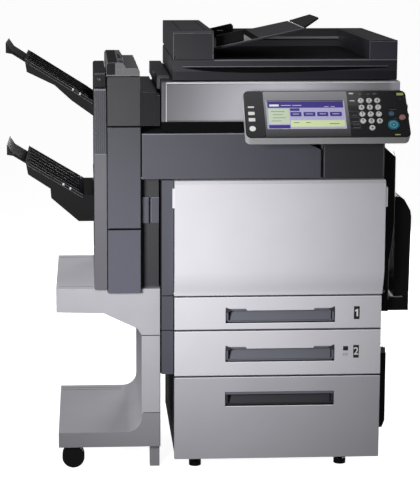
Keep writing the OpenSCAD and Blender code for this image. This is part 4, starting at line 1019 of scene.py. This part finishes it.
FLOOR_REACH = 80
CAMERA_PLACE = (-0.3455, -4.501, 1.4793)
CAMERA_TURN = (math.radians(90 - 8.609), 0, math.radians(-2.778))
CAMERA_LENS = 118.63
CAMERA_SHIFT = (0.10, -0.14)
WORLD_STRENGTH = 0.11


def pale_floor():
    """The floor, which shines white and stays out of reflections and bounced light."""
    r = FLOOR_REACH
    mesh = bpy.data.meshes.new("floor")
    mesh.from_pydata([(-r, -r, 0), (r, -r, 0), (r, r, 0), (-r, r, 0)], [], [(0, 1, 2, 3)])
    floor = bpy.data.objects.new("floor", mesh)
    bpy.context.collection.objects.link(floor)
    paint(floor, material("floor_pale", (0.55, 0.55, 0.55), rough=0.9, emit=1.65))
    floor.visible_diffuse = floor.visible_glossy = False


def area_light(name, place, aim, size, power, spread=180):
    """A square soft box at a place, facing a point."""
    lamp = bpy.data.lights.new(name, "AREA")
    lamp.size = size
    lamp.energy = power
    lamp.spread = math.radians(spread)
    obj = bpy.data.objects.new(name, lamp)
    bpy.context.collection.objects.link(obj)
    obj.location = place
    obj.rotation_euler = (Vector(aim) - Vector(place)).to_track_quat("-Z", "Y").to_euler()


def studio():
    """The lights, the faint white world and the camera."""
    area_light("key_light", (-1.0, -2.3, 1.1), (-0.15, -0.25, 0.60), 0.7, 5.4, 45)
    area_light("left_light", (-2.3, 0.1, 1.9), (-0.35, 0, 0.35), 1.0, 24)
    area_light("top_light", (0.0, 0.0, 2.8), (0, 0, 0.6), 1.4, 8)
    area_light("rear_light", (0.9, 3.6, 0.55), (0, 0.3, 0.55), 0.9, 60, 120)
    area_light("right_light", (3.4, 0.9, 0.55), (0.4, 0.1, 0.55), 0.9, 18, 120)

    world = bpy.data.worlds.new("studio")
    bpy.context.scene.world = world
    world.use_nodes = True
    world.node_tree.nodes["Background"].inputs["Color"].default_value = (1, 1, 1, 1)
    world.node_tree.nodes["Background"].inputs["Strength"].default_value = WORLD_STRENGTH

    camera = bpy.data.cameras.new("camera")
    camera.lens = CAMERA_LENS
    camera.sensor_width = 36
    camera.sensor_fit = "AUTO"
    camera.shift_x, camera.shift_y = CAMERA_SHIFT
    camera_object = bpy.data.objects.new("camera", camera)
    bpy.context.collection.objects.link(camera_object)
    camera_object.location = CAMERA_PLACE
    camera_object.rotation_euler = CAMERA_TURN
    bpy.context.scene.camera = camera_object
    bpy.context.scene.view_settings.view_transform = "Standard"


# --- the whole

paint_cad_nodes()
panel_frame()
screen_layout()
fixed_keys()
key_marks()
drawer_fronts()
drawer_marks()
front_covers()
scanner_front()
feeder_lid()
feed_tray()
finisher_front()
finisher_bridge()
finisher_top()
output_tray("upper", "finisher", (-215.5, 1027), 0.63, 220)
output_tray("lower", "lower_tray", (-243, 768), 0.6, 186)
stand()
side_doors()
right_cover()
rear_screws()
louvre_field("fan_outlet", 40, 180, 700, 840, REAR_BACK)
louvre_field("exhaust_outlet", 430, 545, 800, 930, REAR_BACK)
louvre_field("supply_inlet", 430, 545, 330, 440, REAR_BACK)
power_inlet()
connectors()
left_side()
feeder_back_and_top()
finisher_back_and_left()
for toner_x, (ink, color) in zip(TONER_X, TONER.items()):
    toner_station(toner_x, ink, color)
for number, (floor_z, wall_z) in TRAY_LEVELS.items():
    drawer_inside(number, floor_z, wall_z)
finisher_inside()
hood_inside()
pale_floor()
studio()
